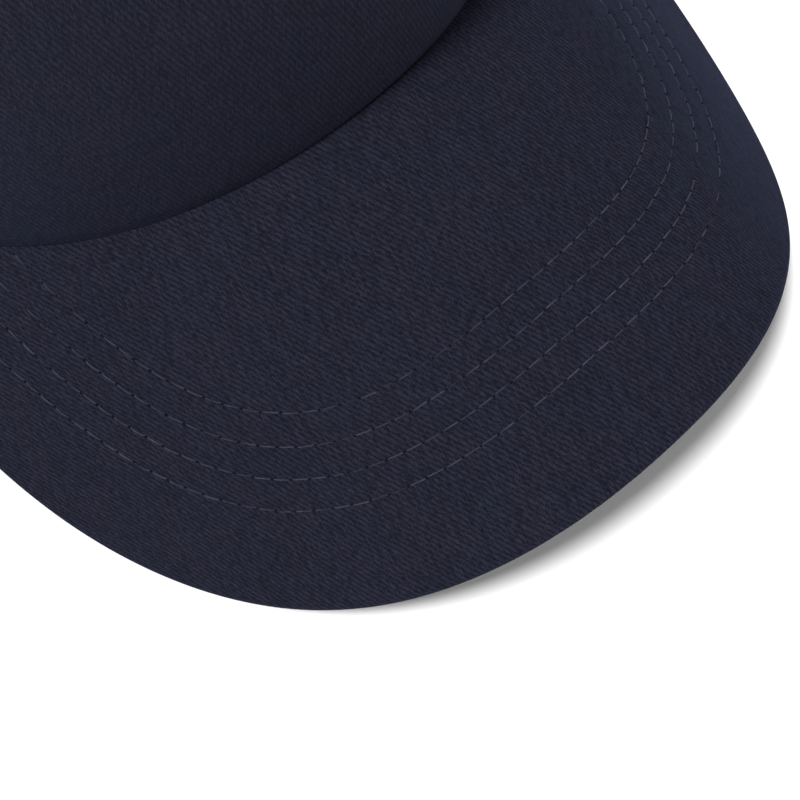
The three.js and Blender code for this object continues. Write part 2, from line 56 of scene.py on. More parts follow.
strap_joint = next(joint for joint in frame["joints"] if joint["name"] == "strap_adjust")
ROW_SHIFT = np.array([0.0, strap_joint["pos_m"][1] * 1000 - STRAP_CENTRE_Y, SEAM_HEIGHT])

VISOR_DROOP = 13.69         # slope of the visor's middle
VISOR_BEND = 0.01444        # curvature from side to side, 1/mm
VISOR_BEND_TAPER = 0.00134  # growth of that curvature with v, 1/mm
VISOR_BEND_EASE = -1.637e-6  # the arch straightens towards the sides, 1/mm^3
VISOR_SAG = 1.094e-3        # curvature from back to front, 1/mm
VISOR_MID_V = 35.0          # v where the taper and the sag are zero
VISOR_EDGE = (99.55, 82.5, -18.8, 2.262)       # half width, depth, v of the centre, exponent
EDGE_TURN = 124.0           # how far the edge goes round that superellipse, both ways
VISOR_THICKNESS = 3.6
BOARD_DEPTH = (1.1, 2.5)    # the board's faces, below the top cover's outer face
SEAM_CENTRE_V = -103.6      # centre of the visor seam's arc in the flat pattern
SEAM_RADIUS = 93.95
SEAM_END = 66.4             # half angle of that arc
SEAM_TUCK = 0.5             # how far the crown is drawn in at the visor seam
STITCH_ROWS = [(62.8 + 6.04 * k, 76.4 + 5.3 * k, -48.0, 3.1 - 0.09 * k) for k in range(4)]
STITCH_LENGTH = 3.4
FINE_STITCH = 3.0           # on the sweatband, the binding and the strap
THREAD_RADIUS = 0.15
HOLE_RADIUS = 0.16

CROWN_HALF_WIDTH = 82.0
CROWN_FRONT_DEPTH = 96.9
CROWN_BACK_DEPTH = 92.0
CROWN_CENTRE_Y = 102.0
APEX_HEIGHT = 96.0
CROWN_TILT = 9.0            # the top falls from front to back
SQUARE_BACK, SQUARE_FRONT = 2.2, 3.6
RIM_FLAT_Y = 160.0          # the rim lies on the table behind this line
CLOTH = 0.62                # thickness of one ply of twill
APEX_HOLE = 2.6             # radius of the gap between the panels' tips
SEAM_ROW = 2.7              # from a crown seam to the stitches beside it
SEAM_PLACES = {60: "front_right", 120: "side_right", 180: "rear", -120: "side_left", -60: "front_left"}
PANEL_SOFTNESS = {-180: 0.42, -120: 0.32, -60: 0.08, 60: 0.32, 120: 0.42}    # by a panel's first seam
SEAM_ALLOWANCE = 5.2
TAPE_HALF_WIDTH = 5.0
TAPE_DEPTH, TAPE_THICKNESS = 1.85, 0.5
BUCKRAM_DEPTH = (1.1, 1.65)
LATTICE_ROWS = 12           # the linings end on these rows of the crown

BAND_HEIGHT, BAND_LIFT, BAND_END = 31.0, 1.5, 132.0
BAND_DEPTH_FRONT, BAND_DEPTH_BACK, BAND_THICKNESS = 2.7, 5.4, 1.2

ARCH_HALF_WIDTH, ARCH_HEIGHT, ARCH_ROUNDNESS = 45.0, 47.0, 0.85
BINDING_OVERLAP = 4.0

EYELET_PLACES = {"side_right": 90, "rear_right": 150, "rear_left": -150, "side_left": -90}
EYELET_REACH = 56.0         # from the crown's middle, in plan
EYELET_BORE, EYELET_HOLE, EYELET_FLANGE = 2.0, 3.0, 5.0
BUTTON_RADIUS, BUTTON_HEIGHT, BUTTON_BASE = 7.6, 5.2, 0.7

STRAP_RADIUS, STRAP_THICKNESS = 72.9, 1.2
STRAP_SPAN = (-58.0, 40.0)
STRAP_BOTTOM, STRAP_HEIGHT = 2.2, 17.0
BUCKLE_ANGLE = 20.0
BUCKLE_BAR = (11.0, -4.25)  # along the strap and outwards, from the strap's outer face
TAB_END, TAB_REACH = 44.0, -3.6

CREASE = 50                 # faces that meet at more than this keep a sharp edge


# ---------- surfaces ----------
def to_row(points):
    """Design-frame millimetres to row-frame metres."""
    return (np.asarray(points) + ROW_SHIFT) * 0.001


def unit(vectors):
    return vectors / np.maximum(np.linalg.norm(vectors, axis=-1, keepdims=True), 1e-12)


def signed_power(value, power):
    return np.sign(value) * np.abs(value) ** power


def smooth(value, low, high):
    s = np.clip((value - low) / (high - low), 0, 1)
    return s * s * (3 - 2 * s)


def bell(value, width):
    return np.exp(-((value / width) ** 2))


def run_length(points):
    """Length along a polyline, at each of its points."""
    return np.concatenate([[0], np.cumsum(np.linalg.norm(np.diff(points, axis=0), axis=-1))])


def bent(u, v):
    """The visor's upper face from its flat pattern: an arch that droops in front."""
    steps = 16
    x = np.zeros_like(u)
    fall = VISOR_SAG * (v - VISOR_MID_V) ** 2 / 2
    rate = VISOR_BEND * u * (1 + VISOR_BEND_TAPER * (v - VISOR_MID_V))
    ease = VISOR_BEND_EASE * u * u * u / 3
    for i in range(steps):
        part = (i + 0.5) / steps
        angle = rate * part + ease * part**3
        x = x + np.cos(angle) * u / steps
        fall = fall + np.sin(angle) * u / steps
    c, s = math.cos(math.radians(VISOR_DROOP)), math.sin(math.radians(VISOR_DROOP))
    return np.stack([x, -v * c + fall * s, -v * s - fall * c], -1)


SEAM_MIDDLE = bent(np.array(0.0), np.array(SEAM_CENTRE_V + SEAM_RADIUS))


def visor(u, v, height=0.0):
    """A point at a height above the visor's upper face."""
    u, v = np.broadcast_arrays(np.asarray(u, float), np.asarray(v, float))
    along_u = bent(u + 0.5, v) - bent(u - 0.5, v)
    along_v = bent(u, v + 0.5) - bent(u, v - 0.5)
    normal = unit(np.cross(along_v, along_u))
    return bent(u, v) + normal * np.asarray(height)[..., None] - SEAM_MIDDLE


def seam(angle):
    """The seam between visor and crown."""
    u = SEAM_RADIUS * np.sin(np.radians(angle))
    v = SEAM_CENTRE_V + SEAM_RADIUS * np.cos(np.radians(angle))
    return visor(u, v)


def rim_curve(turn):
    """The crown's lower edge; 0 is the front, 180 the back."""
    tip = seam(np.array(SEAM_END))
    front = seam(np.clip(turn, -SEAM_END, SEAM_END)) - np.array([0, 0, VISOR_THICKNESS])
    depth = np.where(np.abs(turn) < 90, CROWN_FRONT_DEPTH, CROWN_BACK_DEPTH)
    x = CROWN_HALF_WIDTH * np.sin(np.radians(turn))
    y = CROWN_CENTRE_Y - depth * np.cos(np.radians(turn))
    run = RIM_FLAT_Y - tip[1]
    s = np.clip((y - tip[1]) / run, 0, 1)
    z = (tip[2] - VISOR_THICKNESS) * (2 * s**3 - 3 * s**2 + 1)
    z = z - 0.13 * run * (s**3 - 2 * s**2 + s) - SEAM_HEIGHT * (3 * s**2 - 2 * s**3)
    side = np.stack([x, y, z], -1)
    return np.where((np.abs(turn) <= SEAM_END)[..., None], front, side)


RIM_TURNS = np.linspace(-181, 181, 14481)
RIM_POINTS = rim_curve((RIM_TURNS + 180) % 360 - 180)


def rim(angle):
    """rim_curve from a fine table."""
    turn = (np.asarray(angle) + 180) % 360 - 180
    return np.stack([np.interp(turn, RIM_TURNS, RIM_POINTS[:, k]) for k in range(3)], -1)


def squareness(angle):
    return SQUARE_BACK + (SQUARE_FRONT - SQUARE_BACK) * ((1 + np.cos(np.radians(angle))) / 2) ** 2


def crown_base(angle, rise):
    """The crown's outer face; rise goes from 0 at the rim to 90 at the top."""
    angle, rise = np.broadcast_arrays(np.asarray(angle, float), np.asarray(rise, float))
    low = rim(angle)
    p = squareness(angle)
    across = np.maximum(np.cos(np.radians(rise)), 0)
    up = np.maximum(np.sin(np.radians(rise)), 0)
    size = (across**p + up**p) ** (1 / p)
    r, h = across / size, up / size
    tilt = CROWN_TILT * np.cos(np.radians(angle))
    x = low[..., 0] * r
    y = CROWN_CENTRE_Y + (low[..., 1] - CROWN_CENTRE_Y) * r
    z = low[..., 2] + (APEX_HEIGHT + tilt - low[..., 2]) * h - tilt * (1 - r) ** 2
    return np.stack([x, y, z], -1)


def crown_outward(angle, rise):
    across = crown_base(angle + 0.4, rise) - crown_base(angle - 0.4, rise)
    up = crown_base(angle, rise + 0.3) - crown_base(angle, np.maximum(rise - 0.3, 0))
    return unit(np.cross(across, up))


def crown(angle, rise, depth=0.0):
    """A point below the crown's outer face by a depth."""
    angle, rise = np.broadcast_arrays(np.asarray(angle, float), np.asarray(rise, float))
    return crown_base(angle, rise) - crown_outward(angle, rise) * np.asarray(depth)[..., None]


def rise_at_height(angle, height):
    p = squareness(angle)
    total = APEX_HEIGHT + CROWN_TILT * np.cos(np.radians(angle)) - rim(angle)[..., 2]
    h = np.clip(height / total, 0, 0.9999)
    return np.degrees(np.arctan2(h, (1 - h**p) ** (1 / p)))


def rise_at_radius(angle, radius):
    p = squareness(angle)
    low = rim(angle)
    r = radius / np.hypot(low[..., 0], low[..., 1] - CROWN_CENTRE_Y)
    return np.degrees(np.arctan2((1 - r**p) ** (1 / p), r))


def lattice_rise(angle, row):
    return rise_at_radius(angle, 3.0) * row / LATTICE_ROWS


def reach(angle, rise):
    point = crown_base(angle, rise)
    return np.hypot(point[..., 0], point[..., 1] - CROWN_CENTRE_Y)


def beside(angle, rise, distance):
    """The plan angle that keeps a set distance from a meridian."""
    return angle + np.degrees(np.arcsin(np.clip(distance / reach(angle, rise), -1, 1)))


def back_place(x, height):
    """Plan angle and rise of the point on the crown's back with a given x and height."""
    rise = np.zeros_like(x)
    for _ in range(12):
        depth = crown_base(180.0, rise)[..., 1] - CROWN_CENTRE_Y
        sine = np.clip(x * CROWN_BACK_DEPTH / (CROWN_HALF_WIDTH * depth), -1, 1)
        angle = 180 - np.degrees(np.arcsin(sine))
        rise = rise_at_height(angle, height)
    return angle, rise


def back_rise(height):
    """Rise of the point at a height on the middle of the crown's back."""
    return float(back_place(np.array(0.0), np.array(height))[1])


def arch_outline(turn, margin=0.0):
    """The back opening's outline; turn 0 is its right foot, 90 its top, 180 its left foot."""
    x = (ARCH_HALF_WIDTH + margin) * signed_power(np.cos(np.radians(turn)), ARCH_ROUNDNESS)
    height = (ARCH_HEIGHT + margin) * np.maximum(np.sin(np.radians(turn)), 0) ** ARCH_ROUNDNESS
    return x, height


def even_rows(angle, bottom, top, rows):
    """Rises that split meridians into rows of equal length, and their lengths from the rim."""
    fine = np.linspace(0, 1, 161)
    rise = top[:, None] * fine
    points = crown_base(angle[:, None], rise)
    length = np.zeros_like(rise)
    length[:, 1:] = np.cumsum(np.linalg.norm(np.diff(points, axis=1), axis=-1), axis=1)
    step = np.linspace(0, 1, rows + 1)
    rises, lengths = [], []
    for i in range(len(angle)):
        start = np.interp(bottom[i], rise[i], length[i])
        wanted = start + (length[i, -1] - start) * step
        lengths.append(wanted)
        rises.append(np.interp(wanted, length[i], rise[i]))
    return np.array(rises), np.array(lengths)


def ripple(x, y, wavelength, seed):
    """A smooth random height field of about unit size."""
    terms = 10
    dice = random.Random(seed)
    total = np.zeros(np.broadcast(x, y).shape)
    for _ in range(terms):
        angle = dice.uniform(0, 2 * math.pi)
        k = 2 * math.pi / (wavelength * dice.uniform(0.7, 1.6))
        total += np.sin(k * (x * math.cos(angle) + y * math.sin(angle)) + dice.uniform(0, 2 * math.pi))
    return total / math.sqrt(terms)


# ---------- meshes ----------
def placed(name, data):
    """A new object in the scene."""
    item = bpy.data.objects.new(name, data)
    bpy.context.collection.objects.link(item)
    return item


def facing_out(points, quads, corner_uv):
    """The quads, turned round where the closed body they make is inside out."""
    a, b, c, d = (points[quads[:, k]] for k in range(4))
    volume = np.einsum("ij,ij->", a, np.cross(b, c)) + np.einsum("ij,ij->", a, np.cross(c, d))
    if volume >= 0:
        return quads, corner_uv, False
    return quads[:, ::-1], None if corner_uv is None else corner_uv[:, ::-1], True


def mesh_object(name, points, quads, material, uv=None, caps=()):
    """A closed mesh from design-frame points; uv is given for each vertex or each quad corner."""
    points = to_row(points)
    corner_uv = None
    if uv is not None:
        corner_uv = uv if uv.ndim == 3 else uv[quads]
    quads, corner_uv, turned = facing_out(points, quads, corner_uv)
    ends = [list(reversed(cap)) if turned else list(cap) for cap in caps]
    mesh = bpy.data.meshes.new(name)
    mesh.vertices.add(len(points))
    mesh.vertices.foreach_set("co", points.ravel())
    corners = np.concatenate([quads.ravel(), *[np.array(end) for end in ends]]).astype(np.int32)
    starts = np.arange(len(quads)) * 4
    sizes = np.cumsum([quads.size] + [len(end) for end in ends])[:-1]
    starts = np.concatenate([starts, sizes]).astype(np.int32)
    mesh.loops.add(len(corners))
    mesh.loops.foreach_set("vertex_index", corners)
    mesh.polygons.add(len(starts))
    mesh.polygons.foreach_set("loop_start", starts)
    mesh.materials.append(material)
    if corner_uv is not None:
        layer = mesh.uv_layers.new(name="cloth")
        flat = np.zeros((len(corners), 2), np.float32)
        flat[: quads.size] = corner_uv.reshape(-1, 2)
        layer.data.foreach_set("uv", flat.ravel())
    mesh.polygons.foreach_set("use_smooth", np.ones(len(starts), bool))
    mesh.update(calc_edges=True)
    mesh.validate()
    mesh.set_sharp_from_angle(angle=math.radians(CREASE))
    return placed(name, mesh)


def compact(points, quads, uv):
    """Drop the points that no quad uses."""
    used, index = np.unique(quads, return_inverse=True)
    return points[used], index.reshape(quads.shape), uv[used]


def shell(name, outer, inner, uv, material, kept=None):
    """A closed cloth shell from two grids of points; kept marks the cells that are cloth."""
    columns, rows = outer.shape[0] - 1, outer.shape[1] - 1
    if kept is None:
        kept = np.ones((columns, rows), bool)
    count = (columns + 1) * (rows + 1)
    corner = np.arange(count).reshape(columns + 1, rows + 1)
    a, b, c, d = corner[:-1, :-1], corner[1:, :-1], corner[1:, 1:], corner[:-1, 1:]
    face = np.stack([a, b, c, d], -1)[kept]
    quads = [face, face[:, ::-1] + count]
    around = np.pad(kept, 1)
    sides = [
        (around[1:-1, :-2], a, b),
        (around[2:, 1:-1], b, c),
        (around[1:-1, 2:], c, d),
        (around[:-2, 1:-1], d, a),
    ]
    for neighbour, start, end in sides:
        edge = kept & ~neighbour
        quads.append(np.stack([start[edge], start[edge] + count, end[edge] + count, end[edge]], -1))
    points = np.concatenate([outer.reshape(-1, 3), inner.reshape(-1, 3)])
    both = np.concatenate([uv.reshape(-1, 2), uv.reshape(-1, 2)])
    points, quads, both = compact(points, np.concatenate(quads), both)
    return mesh_object(name, points, quads, material, both)


def loft(name, rings, material, uv=None, closed=False):
    """A closed bar through rings of points; uv gives along and around for each ring corner."""
    stations, sides = rings.shape[:2]
    last = stations if closed else stations - 1
    k, s = np.meshgrid(np.arange(last), np.arange(sides), indexing="ij")
    k, s = k.ravel(), s.ravel()
    k2, s2 = (k + 1) % stations, (s + 1) % sides
    quads = np.stack([k * sides + s, k * sides + s2, k2 * sides + s2, k2 * sides + s], -1)
    caps = []
    if not closed:
        caps = [range(sides - 1, -1, -1), range((stations - 1) * sides, stations * sides)]
    corner_uv = None
    if uv is not None:
        corner_uv = np.stack([uv[k, s], uv[k, s + 1], uv[k + 1, s + 1], uv[k + 1, s]], 1)
    return mesh_object(name, rings.reshape(-1, 3), quads, material, corner_uv, caps)


def rounded_bar(width, thickness, across, turn=5):
    """A flat section with round edges, as offsets from its middle; the first is not repeated."""
    radius = thickness / 2
    span = np.linspace(-width / 2 + radius, width / 2 - radius, across)
    bend = np.radians(np.linspace(90, -90, turn + 2)[1:-1])
    top = np.stack([span, np.full_like(span, radius)], -1)
    right = np.stack([span[-1] + radius * np.cos(bend), radius * np.sin(bend)], -1)
    return np.concatenate([top, right, -top, -right])


def bar_uv(along, section):
    """Along and around in millimetres for a bar of one section."""
    closed = np.concatenate([section, section[:1]])
    return np.stack(np.meshgrid(along, run_length(closed), indexing="ij"), -1)


def tube_faces(count, steps, sides):
    """Quads and end caps of many tubes, whose points lie ring after ring."""
    k, s = np.meshgrid(np.arange(steps - 1), np.arange(sides), indexing="ij")
    a = (k * sides + s).ravel()
    b = (k * sides + (s + 1) % sides).ravel()
    one = np.stack([a, b, b + sides, a + sides], -1)
    base = np.arange(count) * steps * sides
    quads = (one[None] + base[:, None, None]).reshape(-1, 4)
    caps = []
    for start in base:
        caps.append([int(start + i) for i in reversed(range(sides))])
        caps.append([int(start + (steps - 1) * sides + i) for i in range(sides)])
    return quads, caps


def stitches(name, rows):
    """Thread between needle holes; each row gives its holes and the way out of the cloth."""
    sides = 6
    s = np.array([0.0, 0.03, 0.10, 0.24, 0.5, 0.76, 0.90, 0.97, 1.0])
    arc = np.array([-0.42, -0.20, -0.02, 0.07, 0.10, 0.07, -0.02, -0.20, -0.42])
    dice = np.random.default_rng(7)
    paths = []
    for holes, outward in rows:
        start, end = holes[:-1], holes[1:]
        lift = unit(outward[:-1] + outward[1:])
        step = (0.07 + 0.86 * s)[None, :, None]
        sideways = np.cross(lift, unit(end - start))
        shift = sideways * dice.normal(0, 0.07, (len(start), 1))
        start, end = start + shift, end + shift * dice.uniform(-0.5, 1.5, (len(start), 1))
        base = start[:, None] + (end - start)[:, None] * step
        tension = arc[None, :] + dice.normal(0, 0.07, (len(start), 1))
        paths.append(base + lift[:, None] * tension[..., None])
    paths = np.concatenate(paths)
    tangent = unit(np.gradient(paths, axis=1))
    side = unit(np.cross(tangent, np.broadcast_to(np.array([0.31, 0.17, 0.94]), tangent.shape)))
    up = np.cross(side, tangent)
    turn = np.arange(sides) * 2 * math.pi / sides
    ring = side[:, :, None] * np.cos(turn)[:, None] + up[:, :, None] * np.sin(turn)[:, None]
    points = (paths[:, :, None] + ring * THREAD_RADIUS).reshape(-1, 3)
    quads, caps = tube_faces(len(paths), len(s), sides)
    return mesh_object(name, points, quads, thread, caps=caps)


def painted_hole_shades(name, rows):
    """The dark dimple where each stitch goes into the cloth: a small sunken cap painted near black, as
    painted shade in the hole.
    """
    sides = 8
    turn = np.arange(sides) * 2 * math.pi / sides
    holes = np.concatenate([row[0] for row in rows])
    outward = unit(np.concatenate([row[1] for row in rows]))
    first = unit(np.cross(outward, np.broadcast_to(np.array([0.2, 0.3, 0.93]), outward.shape)))
    second = np.cross(outward, first)
    around = first[:, None] * np.cos(turn)[None, :, None] + second[:, None] * np.sin(turn)[None, :, None]
    top = (holes + outward * 0.09)[:, None] + around * HOLE_RADIUS
    low = (holes - outward * 0.25)[:, None] + around * HOLE_RADIUS * 0.6
    points = np.stack([low, top], 1).reshape(-1, 3)
    quads, caps = tube_faces(len(holes), 2, sides)
    fitted(mesh_object(name, points, quads, painted_hole_shade, caps=caps), "crown", "thread")


def resample(points, spacing):
    """Points at even spacing along a polyline, and their share of its length."""
    length = run_length(points)
    wanted = np.linspace(0, length[-1], max(2, int(length[-1] / spacing) + 1))
    return np.stack([np.interp(wanted, length, points[:, k]) for k in range(3)], -1), wanted / length[-1]


def fitted(piece, body, slot, *nodes):
    """Fix a piece to its body and hide the CAD nodes that it stands for; slot, its finish, is not used."""
    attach(piece, body)
    if nodes:
        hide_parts(*nodes)


def sewn(name, rows, body="crown", *nodes):
    """Sewing thread through rows of needle holes, fixed to a body."""
    fitted(stitches(name, rows), body, "thread", *nodes)


# ---------- materials ----------
class Graph:
    """A material's node tree, with short ways to add nodes."""

    def __init__(self, name):
        self.material = bpy.data.materials.new(name)
        self.material.use_nodes = True
        self.tree = self.material.node_tree
        self.shader = self.tree.nodes["Principled BSDF"]

    def feed(self, socket, value):
        if isinstance(value, (int, float)):
            socket.default_value = value
        else:
            self.tree.links.new(value, socket)

    def calc(self, operation, *values):
        node = self.tree.nodes.new("ShaderNodeMath")
        node.operation = operation
        for socket, value in zip(node.inputs, values):
            self.feed(socket, value)
        return node.outputs[0]

    def add(self, first, second):
        return self.calc("ADD", first, second)

    def minus(self, first, second):
        return self.calc("SUBTRACT", first, second)

    def times(self, first, second):
        return self.calc("MULTIPLY", first, second)

    def uv(self):
        node = self.tree.nodes.new("ShaderNodeUVMap")
        node.uv_map = "cloth"
        return node.outputs[0]

    def place(self):
        return self.tree.nodes.new("ShaderNodeTexCoord").outputs["Object"]

    def split(self, vector):
        node = self.tree.nodes.new("ShaderNodeSeparateXYZ")
        self.tree.links.new(vector, node.inputs[0])
        return node.outputs[0], node.outputs[1], node.outputs[2]

    def vector(self, x, y, z=0.0):
        node = self.tree.nodes.new("ShaderNodeCombineXYZ")
        for socket, value in zip(node.inputs, (x, y, z)):
            self.feed(socket, value)
        return node.outputs[0]

    def noise(self, vector, scale, detail=2.0, roughness=0.5):
        node = self.tree.nodes.new("ShaderNodeTexNoise")
        node.inputs["Scale"].default_value = scale
        node.inputs["Detail"].default_value = detail
        node.inputs["Roughness"].default_value = roughness
        self.tree.links.new(vector, node.inputs["Vector"])
        return node.outputs["Fac"]

    def dice(self, vector):
        """A separate random value for each whole-numbered place."""
        node = self.tree.nodes.new("ShaderNodeTexWhiteNoise")
        node.noise_dimensions = "2D"
        self.tree.links.new(vector, node.inputs["Vector"])
        return node.outputs["Value"]

    def blend(self, factor, first, second):
        node = self.tree.nodes.new("ShaderNodeMix")
        node.data_type = "RGBA"
        for socket, value in zip((node.inputs[6], node.inputs[7]), (first, second)):
            if isinstance(value, tuple):
                socket.default_value = (*value, 1)
            else:
                self.tree.links.new(value, socket)
        self.tree.links.new(factor, node.inputs["Factor"])
        return node.outputs[2]

    def centred(self, value, amount):
        """A 0 to 1 value as a swing of plus or minus half the amount."""
        return self.times(self.minus(value, 0.5), amount)

    def finish(self, colour, height, depth, roughness, specular=0.15, sheen=0.0):
        """Connect colour and relief, and set the even values on the shader itself."""
        self.tree.links.new(colour, self.shader.inputs["Base Color"])
        if height is not None:
            node = self.tree.nodes.new("ShaderNodeBump")
            node.inputs["Distance"].default_value = depth
            self.tree.links.new(height, node.inputs["Height"])
            self.tree.links.new(node.outputs[0], self.shader.inputs["Normal"])
        self.shader.inputs["Roughness"].default_value = roughness
        self.shader.inputs["Specular IOR Level"].default_value = specular
        self.shader.inputs["Sheen Weight"].default_value = sheen
        self.shader.inputs["Sheen Roughness"].default_value = 0.4
        self.shader.inputs["Sheen Tint"].default_value = (0.15, 0.35, 1.0, 1)
        return self.material


WARP_PITCH = 25.4 / 108
WEFT_PITCH = 25.4 / 58
FLOAT_REPEAT = 4.0          # a warp float and its gap, in wefts
WARP_LEAN = 6.4             # degrees between the warp and the cut cloth's own length
LINT_LEVEL = 0.74           # higher leaves fewer pale specks


def float_height(g, floats, warp, luck):
    """Height of a warp float: it rises from its ends, and is round from side to side."""
    from_middle = g.times(g.calc("ABSOLUTE", g.minus(g.calc("FRACT", floats), 0.6)), 2.1)
    floating = g.calc("MAXIMUM", g.minus(1.0, g.calc("POWER", from_middle, 3.0)), 0.0)
    over = g.minus(g.calc("FRACT", warp), 0.5)
    rounded = g.minus(1.0, g.times(g.times(over, over), 2.0))
    return g.times(g.times(floating, rounded), g.add(0.7, g.times(luck, 0.4)))


def twill(name, dark, light, relief_depth):
    """3/1 cotton twill: warp floats over three wefts, each a step along from its neighbour."""
    g = Graph(name)
    cloth = g.uv()
    x, y, _ = g.split(cloth)
    c, s = math.cos(math.radians(WARP_LEAN)), math.sin(math.radians(WARP_LEAN))
    wander = g.centred(g.noise(cloth, 0.30, 2), 0.45)
    across = g.add(g.minus(g.times(x, c), g.times(y, s)), wander)
    along = g.add(g.times(x, s), g.times(y, c))
    warp = g.calc("DIVIDE", across, WARP_PITCH)
    weft = g.calc("DIVIDE", along, WEFT_PITCH)
    yarn = g.calc("FLOOR", warp)
    slub = g.noise(g.vector(yarn, g.times(along, 0.25)), 1.7, 3, 0.75)
    shifted = g.add(g.add(weft, yarn), g.centred(slub, 0.8))
    floats = g.calc("DIVIDE", shifted, FLOAT_REPEAT)
    luck = g.dice(g.vector(yarn, g.calc("FLOOR", floats)))
    height = float_height(g, floats, warp, luck)
    step = math.hypot(WARP_PITCH, WEFT_PITCH)
    down_wale = g.minus(g.times(across, WARP_PITCH / step), g.times(along, WEFT_PITCH / step))
    over_wale = g.times(g.add(warp, weft), 0.62)
    dashes = g.noise(g.vector(over_wale, down_wale), 1.0, 3, 0.7)
    fuzz = g.noise(cloth, 4.5, 3, 0.7)
    patch = g.noise(cloth, 0.05, 3, 0.6)
    lint = g.calc("GREATER_THAN", g.noise(cloth, 2.4, 1, 0.5), LINT_LEVEL)
    # The tone follows the floats' height: painted highlight on the floats' crowns and painted shade in the
    # gaps between them.
    tone = g.add(g.times(height, 0.58), g.times(lint, 0.5))
    for swing, amount in ((luck, 0.2), (slub, 0.2), (dashes, 1.7), (fuzz, 0.8), (patch, 0.16)):
        tone = g.add(tone, g.centred(swing, amount))
    hue = g.noise(cloth, 0.11, 2, 0.5)
    plum = (light[0] * 1.10, light[1] * 0.97, light[2])
    teal = (light[0] * 0.90, light[1] * 1.04, light[2])
    bright = g.blend(g.add(0.5, g.centred(hue, 2.2)), plum, teal)
    relief = g.add(height, g.times(fuzz, 0.5))
    return g.finish(g.blend(tone, dark, bright), relief, relief_depth, 0.85, 0.03, 0.03)


def plain_weave(name, dark, light, pitch, depth):
    """Over-and-under weave with round yarns of one pitch."""
    g = Graph(name)
    cloth = g.uv()
    x, y, _ = g.split(cloth)
    warp = g.calc("DIVIDE", g.add(x, g.centred(g.noise(cloth, 0.5), 0.4)), pitch)
    weft = g.calc("DIVIDE", g.add(y, g.centred(g.noise(cloth, 0.45), 0.4)), pitch)
    waves = g.times(g.calc("SINE", g.times(warp, math.pi)), g.calc("SINE", g.times(weft, math.pi)))
    height = g.calc("ABSOLUTE", waves)
    luck = g.dice(g.vector(g.calc("FLOOR", warp), g.calc("FLOOR", weft)))
    # The tone follows the yarns' height: painted highlight on their crowns and painted shade between them.
    tone = g.add(g.times(height, 0.8), g.centred(luck, 0.35))
    tone = g.add(tone, g.centred(g.noise(cloth, 2.0, 3, 0.7), 0.5))
    return g.finish(g.blend(tone, dark, light), height, depth, 0.88, 0.12, 0.04)


def thread_material(name, dark, light, specular=0.15):
    """Twisted polyester thread; the same strands also make the near-black painted shade in the needle
    holes.
    """
    g = Graph(name)
    strands = g.noise(g.place(), 4200.0, 2, 0.6)
    uneven = g.noise(g.place(), 260.0, 2, 0.6)
    tone = g.add(g.times(strands, 0.7), g.centred(uneven, 1.8))
    return g.finish(g.blend(tone, dark, light), strands, 0.00003, 0.55, specular)


def label_material():
    """Blank woven satin with a fine rib."""
    g = Graph("blank_label")
    cloth = g.uv()
    rib_pitch = 0.25
    rib = g.calc("ABSOLUTE", g.calc("SINE", g.times(g.split(cloth)[1], math.pi / rib_pitch)))
    # The tone follows the rib's height: painted highlight on the ribs and painted shade between them.
    tone = g.add(g.times(rib, 0.5), g.centred(g.noise(cloth, 1.4, 3, 0.6), 0.4))
    return g.finish(g.blend(tone, (0.55, 0.55, 0.52), (0.8, 0.8, 0.77)), rib, 0.00004, 0.6, 0.35)


def buckram_material():
    """Open stiffened mesh: pale threads with dark gaps between them."""
    g = Graph("buckram")
    cloth = g.uv()
    x, y, _ = g.split(cloth)
    pitch = 0.9
    lines = []
    for value in (x, y):
        wave = g.calc("SINE", g.times(value, 2 * math.pi / pitch))
        lines.append(g.add(0.5, g.times(wave, 0.5)))
    mesh = g.calc("MAXIMUM", lines[0], lines[1])
    tone = g.add(g.times(mesh, 1.1), g.centred(g.noise(cloth, 1.1, 3, 0.7), 0.4))
    return g.finish(g.blend(tone, (0.18, 0.17, 0.16), (0.72, 0.70, 0.64)), mesh, 0.00012, 0.8, 0.3)


def metal_material():
    """Brushed nickel: fine scratches along the strap's height."""
    g = Graph("buckle_metal")
    x, y, z = g.split(g.place())
    stretched = g.vector(g.times(x, 9000.0), g.times(y, 9000.0), g.times(z, 350.0))
    brush = g.noise(stretched, 1.0, 3, 0.6)
    wear = g.noise(g.place(), 160.0, 3, 0.6)
    tone = g.add(g.times(brush, 0.6), g.centred(wear, 0.6))
    material = g.finish(g.blend(tone, (0.36, 0.36, 0.37), (0.58, 0.58, 0.58)), brush, 0.000012, 0.3, 0.5)
    rough = g.add(0.22, g.times(wear, 0.2))
    g.tree.links.new(rough, g.shader.inputs["Roughness"])
    g.shader.inputs["Metallic"].default_value = 1.0
    return material


def board_material():
    """Satin polyethylene sheet."""
    g = Graph("board_plastic")
    grain = g.noise(g.place(), 900.0, 3, 0.6)
    return g.finish(g.blend(grain, (0.72, 0.72, 0.70), (0.84, 0.84, 0.81)), grain, 0.00005, 0.45, 0.4)


navy = twill("navy_twill", (0.0072, 0.0074, 0.0138), (0.0295, 0.0299, 0.0505), 0.00007)
# The crown's copy of the visor twill has lighter dark yarns: painted light that makes the crown lighter
# than its lamps leave it, and less contrast in the weave.
crown_navy_painted_light = twill("crown_twill_painted_light", (0.0102, 0.0103, 0.0184), (0.0300, 0.0301, 0.0500), 0.00005)
thread = thread_material("navy_thread", (0.016, 0.017, 0.030), (0.066, 0.069, 0.104))
embroidery = thread_material("navy_embroidery", (0.007, 0.007, 0.014), (0.026, 0.027, 0.048), 0.08)
